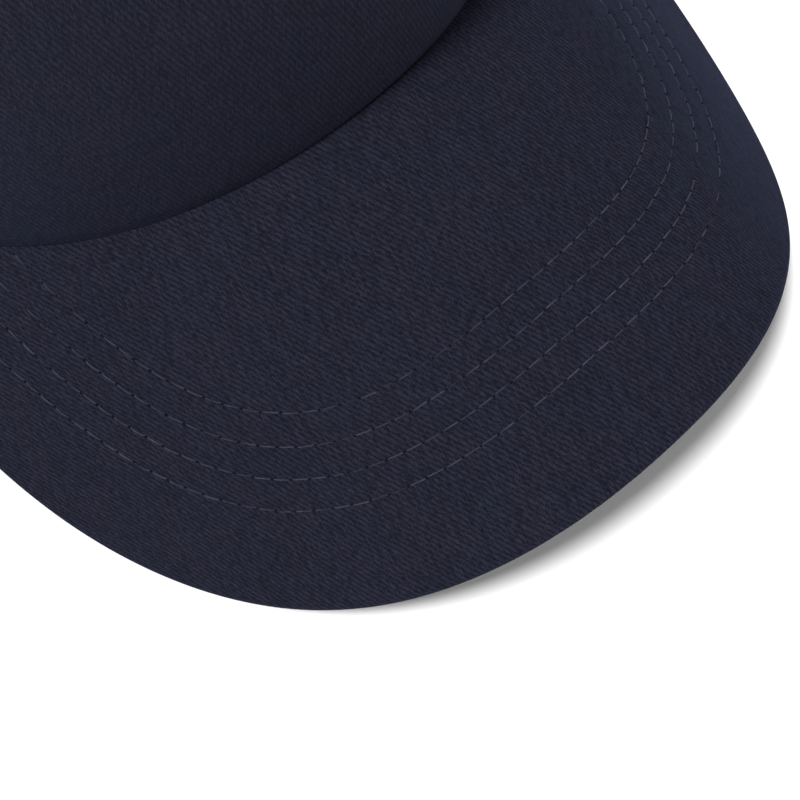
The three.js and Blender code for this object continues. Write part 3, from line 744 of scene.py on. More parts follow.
# Near black: painted shade in the needle holes.
painted_hole_shade = thread_material("painted_hole_shade", (0.004, 0.004, 0.007), (0.007, 0.007, 0.011), 0.0)
lining = plain_weave("navy_lining", (0.006, 0.006, 0.011), (0.024, 0.025, 0.040), 0.42, 0.00006)
label = label_material()
buckram = buckram_material()
metal = metal_material()
board = board_material()


# ---------- visor ----------
def superellipse(shape, degrees):
    """Flat-pattern points of an outline; 0 degrees is its front."""
    a, b, centre, n = shape
    u = a * signed_power(np.sin(np.radians(degrees)), 2 / n)
    v = centre + b * signed_power(np.cos(np.radians(degrees)), 2 / n)
    return u, v


def row_offset(shape, u, v):
    """Distance in the flat pattern from a superellipse, positive outside."""
    a, b, centre, n = shape
    x, y = np.maximum(np.abs(u) / a, 1e-4), np.maximum(np.abs(v - centre) / b, 1e-4)
    value = x**n + y**n - 1
    slope = np.hypot(n * x ** (n - 1) / a, n * y ** (n - 1) / b)
    return value / np.maximum(slope, 1e-3)


def seam_distance(u, v):
    """Distance in the flat pattern from the visor seam, positive on the visor."""
    return np.hypot(u, v - SEAM_CENTRE_V) - SEAM_RADIUS


def row_holes(shape):
    """Needle holes along the part of a stitch row that lies on the visor, as flat points."""
    u, v = superellipse(shape, np.linspace(-110, 110, 4000))
    keep = seam_distance(u, v) > 0.8
    flat = np.stack([u[keep], v[keep], np.zeros(keep.sum())], -1)
    holes, _ = resample(flat, STITCH_LENGTH)
    return holes[:, 0], holes[:, 1]


NEEDLE_HOLES = [row_holes(shape) for shape in STITCH_ROWS]


def visor_relief(u, v):
    """Height of the cloth over the board: grooves at the stitch rows and a slight waviness."""
    height = 0.09 * ripple(u, v, 36, 5) + 0.035 * ripple(u, v, 9, 6)
    for shape, (hole_u, hole_v) in zip(STITCH_ROWS, NEEDLE_HOLES):
        distance = row_offset(shape, u, v)
        on_row = seam_distance(u, v) > 0
        height -= 0.15 * bell(distance, 0.9) * on_row
        near = np.abs(distance) < 2.0
        gap = np.hypot(u[near][:, None] - hole_u, v[near][:, None] - hole_v).min(axis=1)
        height[near] -= 0.16 * bell(gap, 0.7)
    return height


def edge_rays(columns):
    """Directions from the seam's centre to the visor's edge, and the edge's distances."""
    edge_u, edge_v = superellipse(VISOR_EDGE, np.linspace(-EDGE_TURN, EDGE_TURN, columns + 1))
    length = np.hypot(edge_u, edge_v - SEAM_CENTRE_V)
    return edge_u / length, (edge_v - SEAM_CENTRE_V) / length, length


def visor_cover(name, side, node):
    """One cloth cover: flat on the board, then rolled round its edge to mid thickness."""
    columns, flat_rows, roll_rows = 400, 100, 9
    out_u, out_v, length = edge_rays(columns)
    radius = VISOR_THICKNESS / 2
    start = SEAM_RADIUS - SEAM_TUCK + 0.15
    grids = []
    for inside in (0.0, CLOTH):
        bend = radius - inside
        end = np.maximum(length - radius, start + 0.2)
        distance = start + (end - start)[:, None] * np.linspace(0, 1, flat_rows + 1)
        lift = np.full_like(distance, side * bend)
        turn = np.radians(np.linspace(0, 88, roll_rows + 1)[1:])[None, :]
        rolled = end[:, None] + bend * np.sin(turn)
        lift_rolled = np.broadcast_to(side * bend * np.cos(turn), rolled.shape)
        distance = np.concatenate([distance, rolled], 1)
        lift = np.concatenate([lift, lift_rolled], 1)
        u = out_u[:, None] * distance
        v = SEAM_CENTRE_V + out_v[:, None] * distance
        relief = visor_relief(u, v) * np.clip((end[:, None] - distance) / 2.0, 0, 1)
        relief -= 0.15 * bell(distance - start, 0.8)
        grids.append((u, v, visor(u, v, lift - radius + side * relief)))
    (u, v, outer), (_, _, inner) = grids
    cover = shell(name, outer, inner, np.stack([u, -v], -1), navy)
    fitted(cover, "crown", "navy_twill", node)


def visor_board():
    """The stiff sheet between the covers, as wide as their flat part."""
    columns, rows = 320, 60
    out_u, out_v, length = edge_rays(columns)
    start = SEAM_RADIUS + 0.2
    end = np.maximum(length - VISOR_THICKNESS / 2, start + 0.2)
    distance = start + (end - start)[:, None] * np.linspace(0, 1, rows + 1)
    u = out_u[:, None] * distance
    v = SEAM_CENTRE_V + out_v[:, None] * distance
    top, bottom = (visor(u, v, -depth) for depth in BOARD_DEPTH)
    sheet = shell("visor_board_sheet", top, bottom, np.stack([u, -v], -1), board)
    fitted(sheet, "crown", "board_plastic", "visor_board")


def visor_stitches(index):
    """One row of lockstitch, with its thread on both faces of the visor."""
    hole_u, hole_v = NEEDLE_HOLES[index]
    rows = []
    for side in (1, -1):
        base = -0.20 if side > 0 else -VISOR_THICKNESS + 0.20
        outward = side * (visor(hole_u, hole_v, 1.0) - visor(hole_u, hole_v, 0.0))
        rows.append((visor(hole_u, hole_v, base), outward))
    sewn(f"visor_stitches_{index + 1}", rows, "crown", f"visor_stitch_row_{index + 1}")
    return rows


def build_visor():
    visor_cover("visor_top", 1, "visor_top_cover")
    visor_cover("visor_underside", -1, "visor_under_cover")
    visor_board()
    rows = [row for index in range(len(STITCH_ROWS)) for row in visor_stitches(index)]
    painted_hole_shades("visor_painted_hole_shades", rows)


# ---------- crown ----------
def eyelet_frame(angle):
    """An eyelet's middle on the crown, and the way out of the cloth there."""
    rise = rise_at_radius(np.array(float(angle)), EYELET_REACH)
    return crown(float(angle), rise), crown_outward(float(angle), rise)


def spread_columns(start, end, columns):
    """Fractions from 0 to 1 that lie closer together near both ends."""
    t = np.linspace(0, 1, columns + 1)
    return start + (end - start) * (0.5 * t + 0.25 * (1 - np.cos(np.pi * t)))


def crown_relief(angle, rise, up, start, end):
    """Height of a panel's cloth: turned in at its edges, ridged and puckered beside the seams."""
    radius = reach(angle, rise)
    distance = np.minimum(np.radians(angle - start), np.radians(end - angle)) * radius
    distance = np.maximum(distance, 0)
    height = -0.75 * bell(distance, 0.9)
    height += 0.30 / (1 + np.exp((distance - SEAM_ALLOWANCE) / 0.5))
    height -= 0.16 * bell(distance - SEAM_ROW, 0.6)
    height += 0.16 * ripple(up, angle * 0.05, 7.5, round(start) + 400) * bell(distance, 7.0)
    fade = np.clip(up / 18, 0, 1) * smooth(80 - rise, 0, 30)
    height += PANEL_SOFTNESS[round(start)] * ripple(angle * 1.4, up, 46, round(start) + 517) * fade
    return height


def seam_side_height(seam_angle, side, angle, rise, up):
    """Height of the cloth beside a seam, on the panel that lies on one side of it."""
    ends = [*sorted(PANEL_SOFTNESS), 180]
    if side > 0:
        start = -180 if seam_angle == 180 else seam_angle
        end = ends[ends.index(start) + 1]
    else:
        end = seam_angle
        start = ends[ends.index(end) - 1]
    turn = (angle - start) % 360 + start
    return crown_relief(turn, rise, up, start, end)


def hem_relief(angle, up):
    """The folded lower edge: tucked in behind the visor, stitched elsewhere."""
    beyond = smooth(np.abs((angle + 180) % 360 - 180), SEAM_END - 1, SEAM_END + 2)
    tuck = -SEAM_TUCK * bell(up - VISOR_THICKNESS, 2.4) * (1 - beyond)
    edge = -0.40 * bell(up, 0.7)
    groove = (-0.15 * bell(up - 2.6, 0.6) + 0.22 * (1 - smooth(up, 9, 11))) * beyond
    return tuck + edge + groove


def crown_panel(name, column, bottom, rows, node, eyelet=None):
    """A panel whose columns run up meridians from a bottom edge."""
    start, end = column[0], column[-1]
    rise, up = even_rows(column, bottom, rise_at_radius(column, APEX_HOLE), rows)
    angle = np.clip(column[:, None], beside(start, rise, 0.05), beside(end, rise, -0.05))
    base = crown_base(angle, rise)
    relief = crown_relief(angle, rise, up, start, end) + hem_relief(angle, up)
    outward = crown_outward(angle, rise)
    middle = (start + end) / 2
    uv = np.stack([np.radians(angle - middle) * reach(angle, rise), up], -1)
    kept = None
    if eyelet is not None:
        base, kept = pierced(base, eyelet)
    outer = base + outward * relief[..., None]
    inner = outer - outward * CLOTH
    # The crown panels take the twill copy with painted light.
    panel = shell(name, outer, inner, uv, crown_navy_painted_light, kept)
    fitted(panel, "crown", "navy_twill", node)


def pierced(base, eyelet):
    """Draw the points round an eyelet out to its hole, and leave out the cells inside."""
    origin, axis = eyelet_frame(eyelet)
    offset = base - origin
    height = (offset @ axis)[..., None] * axis
    plan = offset - height
    radius = np.linalg.norm(plan, axis=-1)
    inside = radius < EYELET_HOLE
    moved = origin + height + unit(plan) * EYELET_HOLE
    base = np.where(inside[..., None], moved, base)
    corners = inside[:-1, :-1] & inside[1:, :-1] & inside[1:, 1:] & inside[:-1, 1:]
    return base, ~corners


def rear_columns(side):
    """Columns of a rear panel and their lowest rises, along the opening's outline."""
    foot, _ = back_place(np.array(ARCH_HALF_WIDTH), np.array(0.0))
    plain = np.linspace(120, float(foot), 36)[:-1]
    turn = 90 * np.linspace(0, 1, 84) ** 1.25
    angle, rise = back_place(*arch_outline(turn))
    column = np.concatenate([plain, angle])
    bottom = np.concatenate([np.zeros_like(plain), rise])
    if side < 0:
        return -column[::-1], bottom[::-1]
    return column, bottom


def build_panels():
    front = spread_columns(-60, 60, 200)
    crown_panel("front_panel", front, np.zeros_like(front), 215, "crown_front_panel")
    for name, side in (("right", 1), ("left", -1)):
        column = spread_columns(90 * side - 30, 90 * side + 30, 118)
        flat = np.zeros_like(column)
        node = f"crown_side_panel_{name}"
        crown_panel(f"side_panel_{name}", column, flat, 200, node, 90 * side)
        column, bottom = rear_columns(side)
        node = f"crown_rear_panel_{name}"
        crown_panel(f"rear_panel_{name}", column, bottom, 190, node, 150 * side)


def meridian_stitches(name, angle, bottom, top, inside):
    """Stitch rows on both sides of a seam, on the outer face or on the tape inside."""
    rows = []
    column = np.array([float(angle)])
    _, up = even_rows(column, np.array([bottom]), np.array([top]), 1)
    count = int((up[0, 1] - up[0, 0]) / STITCH_LENGTH)
    rise, up = even_rows(column, np.array([bottom]), np.array([top]), count)
    for side in (-1, 1):
        at = beside(float(angle), rise[0], side * SEAM_ROW)
        outward = crown_outward(at, rise[0])
        if inside:
            rows.append((crown(at, rise[0], TAPE_DEPTH - 0.02), -outward))
        else:
            height = seam_side_height(angle, side, at, rise[0], up[0]) + 0.02
            rows.append((crown(at, rise[0], -height), outward))
    sewn(name, rows)


def seam_tape(place, angle, low, high):
    """A tape over a seam's allowances, drawn in by its stitches and along its edges."""
    rise = np.linspace(low, high, 111)[None, :]
    across = np.linspace(-1, 1, 25)[:, None]
    at = beside(float(angle), rise, TAPE_HALF_WIDTH * across)
    bow = 0.55 * np.abs(across) ** 5 + 0.12 * bell(np.abs(across) * TAPE_HALF_WIDTH - SEAM_ROW, 0.6)
    inner = crown(at, rise, TAPE_DEPTH - bow)
    outer = crown(at, rise, TAPE_DEPTH - bow - TAPE_THICKNESS)
    length = run_length(inner[len(across) // 2])
    uv = np.stack(np.broadcast_arrays(TAPE_HALF_WIDTH * across, length[None, :]), -1)
    tape = shell(f"seam_tape_{place}_cloth", outer, inner, uv, lining)
    fitted(tape, "crown", "lining", f"seam_tape_{place}")


def build_seams():
    for angle, place in SEAM_PLACES.items():
        meridian = np.array(float(angle))
        low = float(lattice_rise(meridian, 1))
        high = float(lattice_rise(meridian, LATTICE_ROWS - 1))
        start = float(rise_at_height(meridian, 5.5 if abs(angle) == 60 else 4.5))
        if angle == 180:
            start = back_rise(ARCH_HEIGHT + BINDING_OVERLAP + 1)
            low = back_rise(ARCH_HEIGHT + 2.5)
        meridian_stitches(f"seam_stitches_{place}", angle, start, high, False)
        meridian_stitches(f"tape_stitches_{place}", angle, low, high, True)
        seam_tape(place, angle, low, float(lattice_rise(meridian, LATTICE_ROWS - 0.4)))


def build_buckram():
    """The front panel's stiffener, between the tapes of its two seams."""
    columns, rows = 110, 110
    middle = np.linspace(-60, 60, columns + 1)
    row = np.linspace(1, LATTICE_ROWS - 2, rows + 1)
    rise = lattice_rise(middle[:, None], row[None, :])
    margin = TAPE_HALF_WIDTH + 0.6
    low, high = beside(-60.0, rise, margin), beside(60.0, rise, -margin)
    angle = low + (high - low) * np.linspace(0, 1, columns + 1)[:, None]
    outer, inner = crown(angle, rise, BUCKRAM_DEPTH[0]), crown(angle, rise, BUCKRAM_DEPTH[1])
    up = crown_base(angle, rise)[..., 2]
    uv = np.stack([np.radians(angle) * reach(angle, rise), up], -1)
    fitted(shell("front_stiffener", outer, inner, uv, buckram), "crown", "buckram", "front_buckram")


def hem_stitches():
    """The row that holds the sweatband's lower edge, round the rim beyond the visor."""
    foot, _ = back_place(np.array(ARCH_HALF_WIDTH), np.array(0.0))
    rows = []
    for side in (1, -1):
        angle = side * np.linspace(SEAM_END + 3, float(foot) - 3.5, 400)
        rise = rise_at_height(angle, 2.7)
        holes, share = resample(crown(angle, rise, 0.12), STITCH_LENGTH)
        even = side * (SEAM_END + 3 + (float(foot) - 6.5 - SEAM_END) * share)
        rows.append((holes, crown_outward(even, rise_at_height(even, 2.7))))
    sewn("hem_stitches", rows)


# ---------- linings ----------
def band_depth(angle):
    return BAND_DEPTH_FRONT + (BAND_DEPTH_BACK - BAND_DEPTH_FRONT) * smooth(np.abs(angle), 85, 112)


def band_point(angle, height, depth):
    """A point of the sweatband: its foot turns out to the hem, its top leans in a little."""
    foot = (1 - smooth(height, 1.5, 9)) * (1 - smooth(np.abs(angle), 118, 127))
    full = band_depth(angle)
    wave = 0.25 * ripple(angle * 1.4, height, 30, 91) * smooth(height, 8, 24)
    at = full + wave - (full - 1.6) * foot
    return crown(angle, rise_at_height(angle, height), at + depth)


def build_sweatband():
    """The band round the inside of the rim, with a row of stitches near each edge."""
    section = rounded_bar(BAND_HEIGHT, BAND_THICKNESS, 40)
    angle = np.linspace(-BAND_END, BAND_END, 361)
    height = BAND_LIFT + BAND_HEIGHT / 2 + section[:, 0]
    depth = BAND_THICKNESS / 2 + section[:, 1]
    stitch_heights = (5.0, 29.5)
    groove = 0.25 * sum(bell(height - line, 0.5) for line in stitch_heights)
    depth = depth - groove * np.sign(section[:, 1])
    rings = band_point(angle[:, None], height[None, :], depth[None, :])
    uv = bar_uv(np.radians(angle) * 82, section)
    band = loft("sweatband_cloth", rings, lining, uv)
    fitted(band, "crown", "lining", "sweatband")
    rows = []
    for height in stitch_heights:
        fine = np.linspace(-BAND_END + 1, BAND_END - 1, 1500)
        line = band_point(fine, np.array(height), np.array(BAND_THICKNESS - 0.18))
        holes, share = resample(line, FINE_STITCH)
        even = fine[0] + (fine[-1] - fine[0]) * share
        rows.append((holes, -crown_outward(even, rise_at_height(even, height))))
    sewn("sweatband_stitches", rows)


def build_label():
    """A blank label, sewn to the band along its top edge and curling a little below."""
    i, j = np.meshgrid(np.linspace(-112, -100, 33), np.linspace(6, 26, 41), indexing="ij")
    curl = 0.5 * ((26 - j) / 20) ** 2 + 0.12 * ripple(i * 1.4, j, 14, 23)
    depth = BAND_THICKNESS + 0.35 + curl
    inner = band_point(i, j, depth + 0.3)
    outer = band_point(i, j, depth)
    uv = np.stack([np.radians(i) * 80, j], -1)
    fitted(shell("blank_label", outer, inner, uv, label), "crown", "label", "care_label")
    turn = np.linspace(-111, -101, 6)
    rise = rise_at_height(turn, 24.5)
    holes = band_point(turn, np.array(24.5), np.array(BAND_THICKNESS + 0.66))
    sewn("label_stitches", [(holes, -crown_outward(turn, rise))])


def binding_point(turn, margin, depth):
    """A point beside the back opening's outline, at a depth below the crown's outer face."""
    angle, rise = back_place(*arch_outline(turn, margin))
    return crown(angle, rise, depth)


def build_binding():
    """A tape folded over the raw edge of the back opening, with one row of stitches."""
    ply, out, into, round_off = 0.5, -0.72, 1.55, 9
    middle, half = (out + into) / 2, (into - out) / 2
    bend = np.radians(np.linspace(90, 270, round_off))
    legs = np.linspace(BINDING_OVERLAP, 0.2, 9)
    fold = [(0.2 + half * math.cos(b), middle + half * math.sin(b)) for b in bend[1:-1]]
    path = np.array([(m, into) for m in legs] + fold + [(m, out) for m in legs[::-1]])
    tangent = unit(np.gradient(path, axis=0))
    normal = np.stack([tangent[:, 1], -tangent[:, 0]], -1)
    section = np.concatenate([path + normal * ply / 2, (path - normal * ply / 2)[::-1]])
    turn = 90 - 90 * signed_power(np.linspace(1, -1, 181), 0.9)
    rings = binding_point(turn[:, None], section[None, :, 0], section[None, :, 1])
    along = run_length(rings[:, len(path) // 2])
    tape = loft("opening_binding_tape", rings, lining, bar_uv(along, section))
    fitted(tape, "crown", "lining", "rear_opening_binding")
    rows = []
    fine = np.linspace(1.5, 178.5, 600)
    for depth, way in ((out - ply / 2 + 0.05, 1), (into + ply / 2 - 0.05, -1)):
        holes, _ = resample(binding_point(fine, 2.9, depth), FINE_STITCH)
        angle, rise = back_place(holes[:, 0], holes[:, 2] + SEAM_HEIGHT)
        rows.append((holes, way * crown_outward(angle, rise)))
    sewn("binding_stitches", rows)


# ---------- eyelets and button ----------
def axis_frame(axis):
    """Two directions at right angles to an axis and to each other."""
    helper = np.array([1.0, 0.0, 0.0]) if abs(axis[0]) < 0.7 else np.array([0.0, 0.0, 1.0])
    first = unit(np.cross(helper, axis))
    return first, np.cross(axis, first)


def turned(origin, axis, radius, height):
    """Points of a turned form: radius and height for each turn and profile step."""
    first, second = axis_frame(axis)
    turn = np.linspace(0, 2 * math.pi, radius.shape[0], endpoint=False)[:, None, None]
    around = first * np.cos(turn) + second * np.sin(turn)
    return origin + around * radius[..., None] + axis * height[..., None]


def dense(profile, step):
    """A closed profile with extra points on its long sides."""
    out = []
    for (r0, y0), (r1, y1) in zip(profile, profile[1:] + profile[:1]):
        parts = max(1, round(math.hypot(r1 - r0, y1 - y0) / step))
        out += [(r0 + (r1 - r0) * k / parts, y0 + (y1 - y0) * k / parts) for k in range(parts)]
    return np.array(out)


def eyelet_lift(angle):
    """Height of the cloth at an eyelet, which lies halfway between two seams."""
    rise = rise_at_radius(np.array(float(angle)), EYELET_REACH)
    _, up = even_rows(np.array([float(angle)]), np.zeros(1), rise[None], 1)
    return float(crown_relief(float(angle), rise, up[0, 1], angle - 30, angle + 30))


def build_eyelets():
    """Rings of satin stitch that wrap the edge of a punched hole on both sides of the cloth."""
    threads, per_thread = 46, 4
    swell = [(EYELET_BORE + (EYELET_FLANGE - EYELET_BORE) * t, 0.05 + 0.75 * math.sin(math.pi * t) ** 0.6)
             for t in np.linspace(0.04, 0.96, 9)]
    under = [(EYELET_BORE + 1.7 * t, -0.95 - 0.35 * math.sin(math.pi * t) ** 0.7)
             for t in np.linspace(0.9, 0.1, 6)]
    profile = swell + [(EYELET_FLANGE, -0.12), (2.7, 0.0), (2.7, -0.9)] + under
    profile = dense([(float(r), float(y)) for r, y in profile], 0.5)
    turn = np.linspace(0, 2 * math.pi, threads * per_thread, endpoint=False)[:, None]
    ridge = np.abs(np.cos(turn * threads / 2)) - 0.5
    edge = 0.2 * ridge * (profile[None, :, 0] > EYELET_FLANGE - 0.6)
    radius = profile[None, :, 0] + 0.05 * ridge + edge
    height = profile[None, :, 1] + 0.17 * ridge * np.where(profile[None, :, 1] > -0.3, 1, -1)
    for place, angle in EYELET_PLACES.items():
        origin, axis = eyelet_frame(angle)
        points = turned(origin + axis * eyelet_lift(angle), axis, radius, height)
        ring = loft(f"embroidered_eyelet_{place}", points, embroidery, closed=True)
        fitted(ring, "crown", "thread", f"eyelet_{place}")


def poled(name, points, material, uv, slot, node):
    """A turned solid whose profile starts and ends on its axis."""
    turns, steps = points.shape[:2]
    k, s = np.meshgrid(np.arange(turns), np.arange(steps - 1), indexing="ij")
    k, s = k.ravel(), s.ravel()
    k2 = (k + 1) % turns
    quads = np.stack([k * steps + s, k2 * steps + s, k2 * steps + s + 1, k * steps + s + 1], -1)
    piece = mesh_object(name, points.reshape(-1, 3), quads, material, uv.reshape(-1, 2))
    solid = bmesh.new()
    solid.from_mesh(piece.data)
    bmesh.ops.remove_doubles(solid, verts=solid.verts, dist=1e-7)
    solid.to_mesh(piece.data)
    solid.free()
    fitted(piece, "crown", slot, node)


def button_cloth(origin, axis, turn):
    """The cover's cloth, drawn over the shell and gathered in small pleats under its rim."""
    climb = np.radians(np.linspace(90, 0, 25))
    outer = np.stack([BUTTON_RADIUS * np.cos(climb) ** 0.8,
                      BUTTON_BASE + (BUTTON_HEIGHT - BUTTON_BASE) * np.sin(climb)], -1)
    outer[0, 0] = 0
    inner = outer[::-1] * [0.92, 1.0]
    inner[:, 1] = BUTTON_BASE + (inner[:, 1] - BUTTON_BASE) * 0.87
    profile = np.concatenate([outer, inner])
    gather = bell(profile[:, 1] - BUTTON_BASE, 1.6) * (profile[:, 0] > 3)
    pleat = np.cos(turn * 17) + 0.5 * np.cos(turn * 29 + 1)
    radius = profile[None, :, 0] * (1 + 0.012 * gather * pleat)
    height = profile[None, :, 1] + 0.06 * gather * pleat
    uv = np.stack([radius * 1.25 * np.cos(turn), radius * 1.25 * np.sin(turn)], -1)
    poled("button_cloth", turned(origin, axis, radius, height), navy, uv, "navy_twill", "button_cover")


def button_rivet(origin, axis, turn):
    """The tack: a post up into the shell, and a washer under the panels' tips."""
    top, edge, post = -2.35, 7.0, 1.6
    profile = np.array([
        (0, 2.6), (post, 2.6), (post, top), (edge - 0.2, top), (edge, top - 0.15), (edge, top - 0.45),
        (edge - 0.25, top - 0.6), (2.6, top - 0.6), (2.2, top - 0.75), (0, top - 0.85),
    ])
    radius, height = (np.repeat(profile[None, :, k], len(turn), 0) for k in range(2))
    uv = np.stack([radius * np.cos(turn), radius * np.sin(turn)], -1)
    poled("button_rivet", turned(origin, axis, radius, height), metal, uv, "buckle_metal", "button_tack")


def build_button():
    lean = math.atan(4 * CROWN_TILT / (CROWN_FRONT_DEPTH + CROWN_BACK_DEPTH))
    axis = np.array([0, math.sin(lean), math.cos(lean)])
    origin = np.array([0, CROWN_CENTRE_Y, APEX_HEIGHT])
    turn = np.linspace(0, 2 * math.pi, 144, endpoint=False)[:, None]
    button_cloth(origin, axis, turn)
    button_rivet(origin, axis, turn)


# ---------- strap and buckle ----------
def arc_point(angle, radius, z):
    """A point on the strap's arc, at a radius and a height above the table."""
    turn = np.radians(angle)
    x, y, z = np.broadcast_arrays(radius * np.sin(turn), STRAP_CENTRE_Y + radius * np.cos(turn), z)
    return np.stack([x, y, z - SEAM_HEIGHT], -1)


def arc_outward(angle):
    turn = np.radians(angle)
    return np.stack([np.sin(turn), np.cos(turn), np.zeros_like(turn)], -1)


def build_strap():
    """The folded strap, sewn along both edges; it slides along its own arc."""
    section = rounded_bar(STRAP_HEIGHT, STRAP_THICKNESS, 40)
    stitch_lines = (-STRAP_HEIGHT / 2 + 2.0, STRAP_HEIGHT / 2 - 2.0)
    groove = sum(0.16 * bell(section[:, 0] - line, 0.5) for line in stitch_lines)
    out = section[:, 1] - groove * np.sign(section[:, 1])
    angle = np.linspace(*STRAP_SPAN, 301)
    tip = np.minimum(angle - STRAP_SPAN[0], STRAP_SPAN[1] - angle) * math.radians(STRAP_RADIUS)
    slim = np.sqrt(np.clip(1 - (1 - np.clip(tip / 0.6, 0, 1)) ** 2, 0.02, 1))
    radius = STRAP_RADIUS - STRAP_THICKNESS / 2 + out[None, :] * slim[:, None]
    corner = 1 - 0.10 * (1 - smooth(tip, 0, 2.5))
    z = STRAP_BOTTOM + STRAP_HEIGHT / 2 + section[None, :, 0] * corner[:, None]
    rings = arc_point(angle[:, None], radius, z)
    strap = loft("strap_cloth", rings, navy, bar_uv(np.radians(angle) * STRAP_RADIUS, section))
    fitted(strap, "strap", "navy_twill", "back_strap")
    rows = []
    holes_at = np.arange(STRAP_SPAN[0] + 1.2, STRAP_SPAN[1] - 1.2, math.degrees(FINE_STITCH / STRAP_RADIUS))
    for line in stitch_lines:
        for way in (1, -1):
            face = STRAP_RADIUS - STRAP_THICKNESS / 2 + way * (STRAP_THICKNESS / 2 - 0.10)
            holes = arc_point(holes_at, face, np.array(STRAP_BOTTOM + STRAP_HEIGHT / 2 + line))
            rows.append((holes, way * arc_outward(holes_at)))
    sewn("strap_stitches", rows, "strap")


def build_tab():
    """A cloth tab, looped round the buckle's end bar, its two plies sewn together."""
    along, out = BUCKLE_BAR
    bar_radius = math.hypot(STRAP_RADIUS + out, along)
    bar_angle = BUCKLE_ANGLE + math.degrees(math.atan2(along, STRAP_RADIUS + out))
    ply, loop = 0.5, 1.75
    middle = STRAP_RADIUS + TAB_REACH - bar_radius
    far = -math.radians(TAB_END - bar_angle) * bar_radius
    turn = np.radians(np.linspace(148, -148, 25))
    upper = [(s, middle + ply * 0.6) for s in np.linspace(far, -3.6, 12)]
    lower = [(s, middle - ply * 0.6) for s in np.linspace(-3.6, far, 12)]
    path = np.array(upper + list(zip(loop * np.cos(turn), loop * np.sin(turn))) + lower)
    for _ in range(2):
        path[1:-1] = 0.25 * path[:-2] + 0.5 * path[1:-1] + 0.25 * path[2:]
    tangent = unit(np.gradient(path, axis=0))
    normal = np.stack([-tangent[:, 1], tangent[:, 0]], -1)
    section = rounded_bar(STRAP_HEIGHT - 0.6, ply, 14, 3)
    flat = path[:, None] + normal[:, None] * section[None, :, 1:2]
    radius = bar_radius + flat[..., 1]
    angle = bar_angle - np.degrees(flat[..., 0] / bar_radius)
    z = STRAP_BOTTOM + STRAP_HEIGHT / 2 + section[None, :, 0]
    tab = loft("buckle_tab_cloth", arc_point(angle, radius, z), navy, bar_uv(run_length(path), section))
    fitted(tab, "crown", "navy_twill", "buckle_tab")
    rows = []
    levels = np.arange(STRAP_BOTTOM + 1.5, STRAP_BOTTOM + STRAP_HEIGHT - 1.2, 2.6)
    for back in (5.2, 7.4):
        for way in (1, -1):
            at = np.full_like(levels, bar_angle + math.degrees(back / bar_radius))
            face = bar_radius + middle + way * (ply * 1.1 - 0.04)
            rows.append((arc_point(at, face, levels), way * arc_outward(at)))
    sewn("tab_stitches", rows)


def eased(name, node, body, width):
    """A CAD solid with its sharp edges rounded off, as a stamped and tumbled part has."""
    source = frame["nodes"][node]
    mesh = source.data.copy()
    mesh.name = name
    mesh.transform(source.matrix_world)
    mesh.materials.clear()
    mesh.materials.append(metal)
    solid = bmesh.new()
    solid.from_mesh(mesh)
    bmesh.ops.remove_doubles(solid, verts=solid.verts, dist=1e-6)
    flat, keen = math.radians(2), math.radians(35)
    bmesh.ops.dissolve_limit(solid, angle_limit=flat, verts=solid.verts, edges=solid.edges)
    sharp = [edge for edge in solid.edges if edge.calc_face_angle(0) > keen]
    bmesh.ops.bevel(solid, geom=sharp, offset=width, segments=3, profile=0.5, affect="EDGES",
                    clamp_overlap=True)
    bmesh.ops.triangulate(solid, faces=solid.faces)
    solid.to_mesh(mesh)
    solid.free()
    mesh.polygons.foreach_set("use_smooth", np.ones(len(mesh.polygons), bool))
    mesh.set_sharp_from_angle(angle=math.radians(40))
    fitted(placed(name, mesh), body, "buckle_metal", node)


def build_buckle():
    eased("buckle_frame_nickel", "buckle_frame", "crown", 0.00022)
    eased("buckle_pin_nickel", "buckle_pin", "crown", 0.00015)
    eased("buckle_lever_nickel", "buckle_lever", "lever", 0.00022)


def refinish():
    """A better metal for the one CAD node that stays, under the button's cloth."""
    for slot in frame["nodes"]["button_shell"].material_slots:
        slot.material = metal


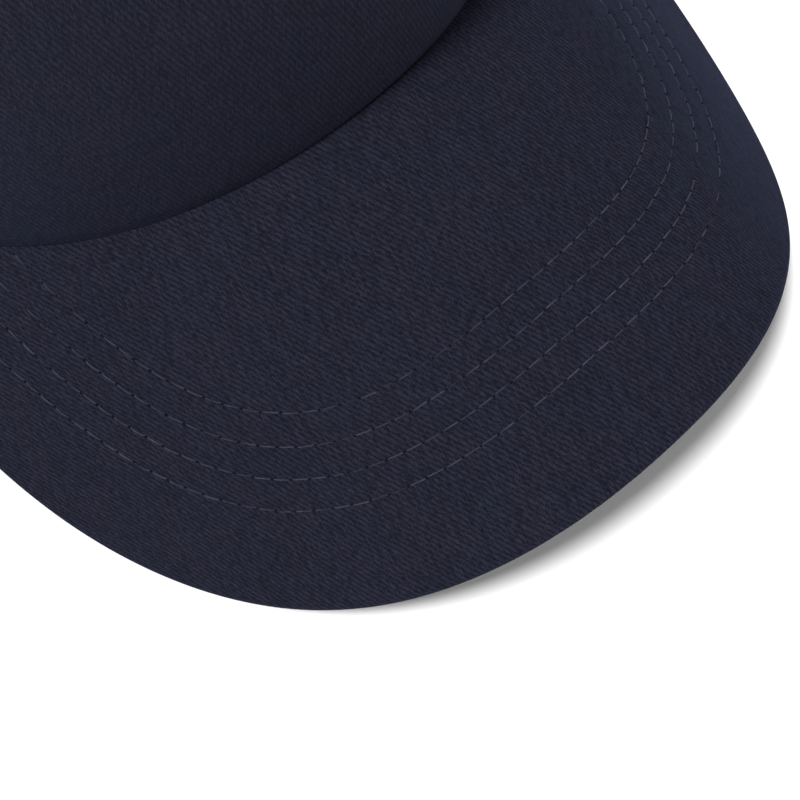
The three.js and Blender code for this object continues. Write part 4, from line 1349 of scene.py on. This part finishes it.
# ---------- stage ----------
CAMERA_PLACE = (-86.2, -99.3, 227.5)       # from the middle of the visor seam
CAMERA_AZIMUTH = -42.84
CAMERA_ELEVATION = 70.49
CAMERA_LENS = 72.0
FLOOR_SIZE = 60.0
KEY_FROM = (-0.31, 0.02, 1.0)              # a soft lamp high above, a little to one side
KEY_SPREAD = 9.0
KEY_STRENGTH = 3.1
CARD_FROM = (0.55, -0.8, 0.26)             # a broad reflecting card low in front of the crown
CARD_SPREAD = 50.0
CARD_STRENGTH = 0.7
FILL_STRENGTH = 0.34


def add_lamp(name, place, spread, strength):
    """A distant lamp that shines from a place towards the origin."""
    light = bpy.data.lights.new(name, "SUN")
    light.angle = math.radians(spread)
    light.energy = strength
    lamp = placed(name, light)
    lamp.rotation_euler = (-Vector(place)).to_track_quat("-Z", "Y").to_euler()


def build_stage():
    bpy.ops.mesh.primitive_plane_add(size=FLOOR_SIZE)
    floor = bpy.context.object
    floor.name = "floor"
    paint = Graph("pale_floor")
    mottle = paint.noise(paint.place(), 3.0, 2, 0.5)
    paint.finish(paint.blend(mottle, (0.93, 0.93, 0.93), (0.94, 0.94, 0.94)), None, 0, 0.85)
    floor.data.materials.append(paint.material)

    world = bpy.data.worlds.new("studio")
    bpy.context.scene.world = world
    world.use_nodes = True
    sky = world.node_tree.nodes["Background"]
    sky.inputs["Color"].default_value = (1, 1, 1, 1)
    sky.inputs["Strength"].default_value = FILL_STRENGTH
    add_lamp("key", KEY_FROM, KEY_SPREAD, KEY_STRENGTH)
    add_lamp("card", CARD_FROM, CARD_SPREAD, CARD_STRENGTH)

    lens = bpy.data.cameras.new("camera")
    lens.lens = CAMERA_LENS
    lens.sensor_width = 36
    lens.clip_start = 0.01
    camera = placed("camera", lens)
    camera.location = to_row(CAMERA_PLACE)
    camera.rotation_euler = (math.radians(90 - CAMERA_ELEVATION), 0, math.radians(CAMERA_AZIMUTH))
    bpy.context.scene.camera = camera
    bpy.context.scene.view_settings.view_transform = "Standard"


build_stage()
build_visor()
build_panels()
build_seams()
build_buckram()
hem_stitches()
build_sweatband()
build_label()
build_binding()
build_eyelets()
build_button()
build_strap()
build_tab()
build_buckle()
refinish()
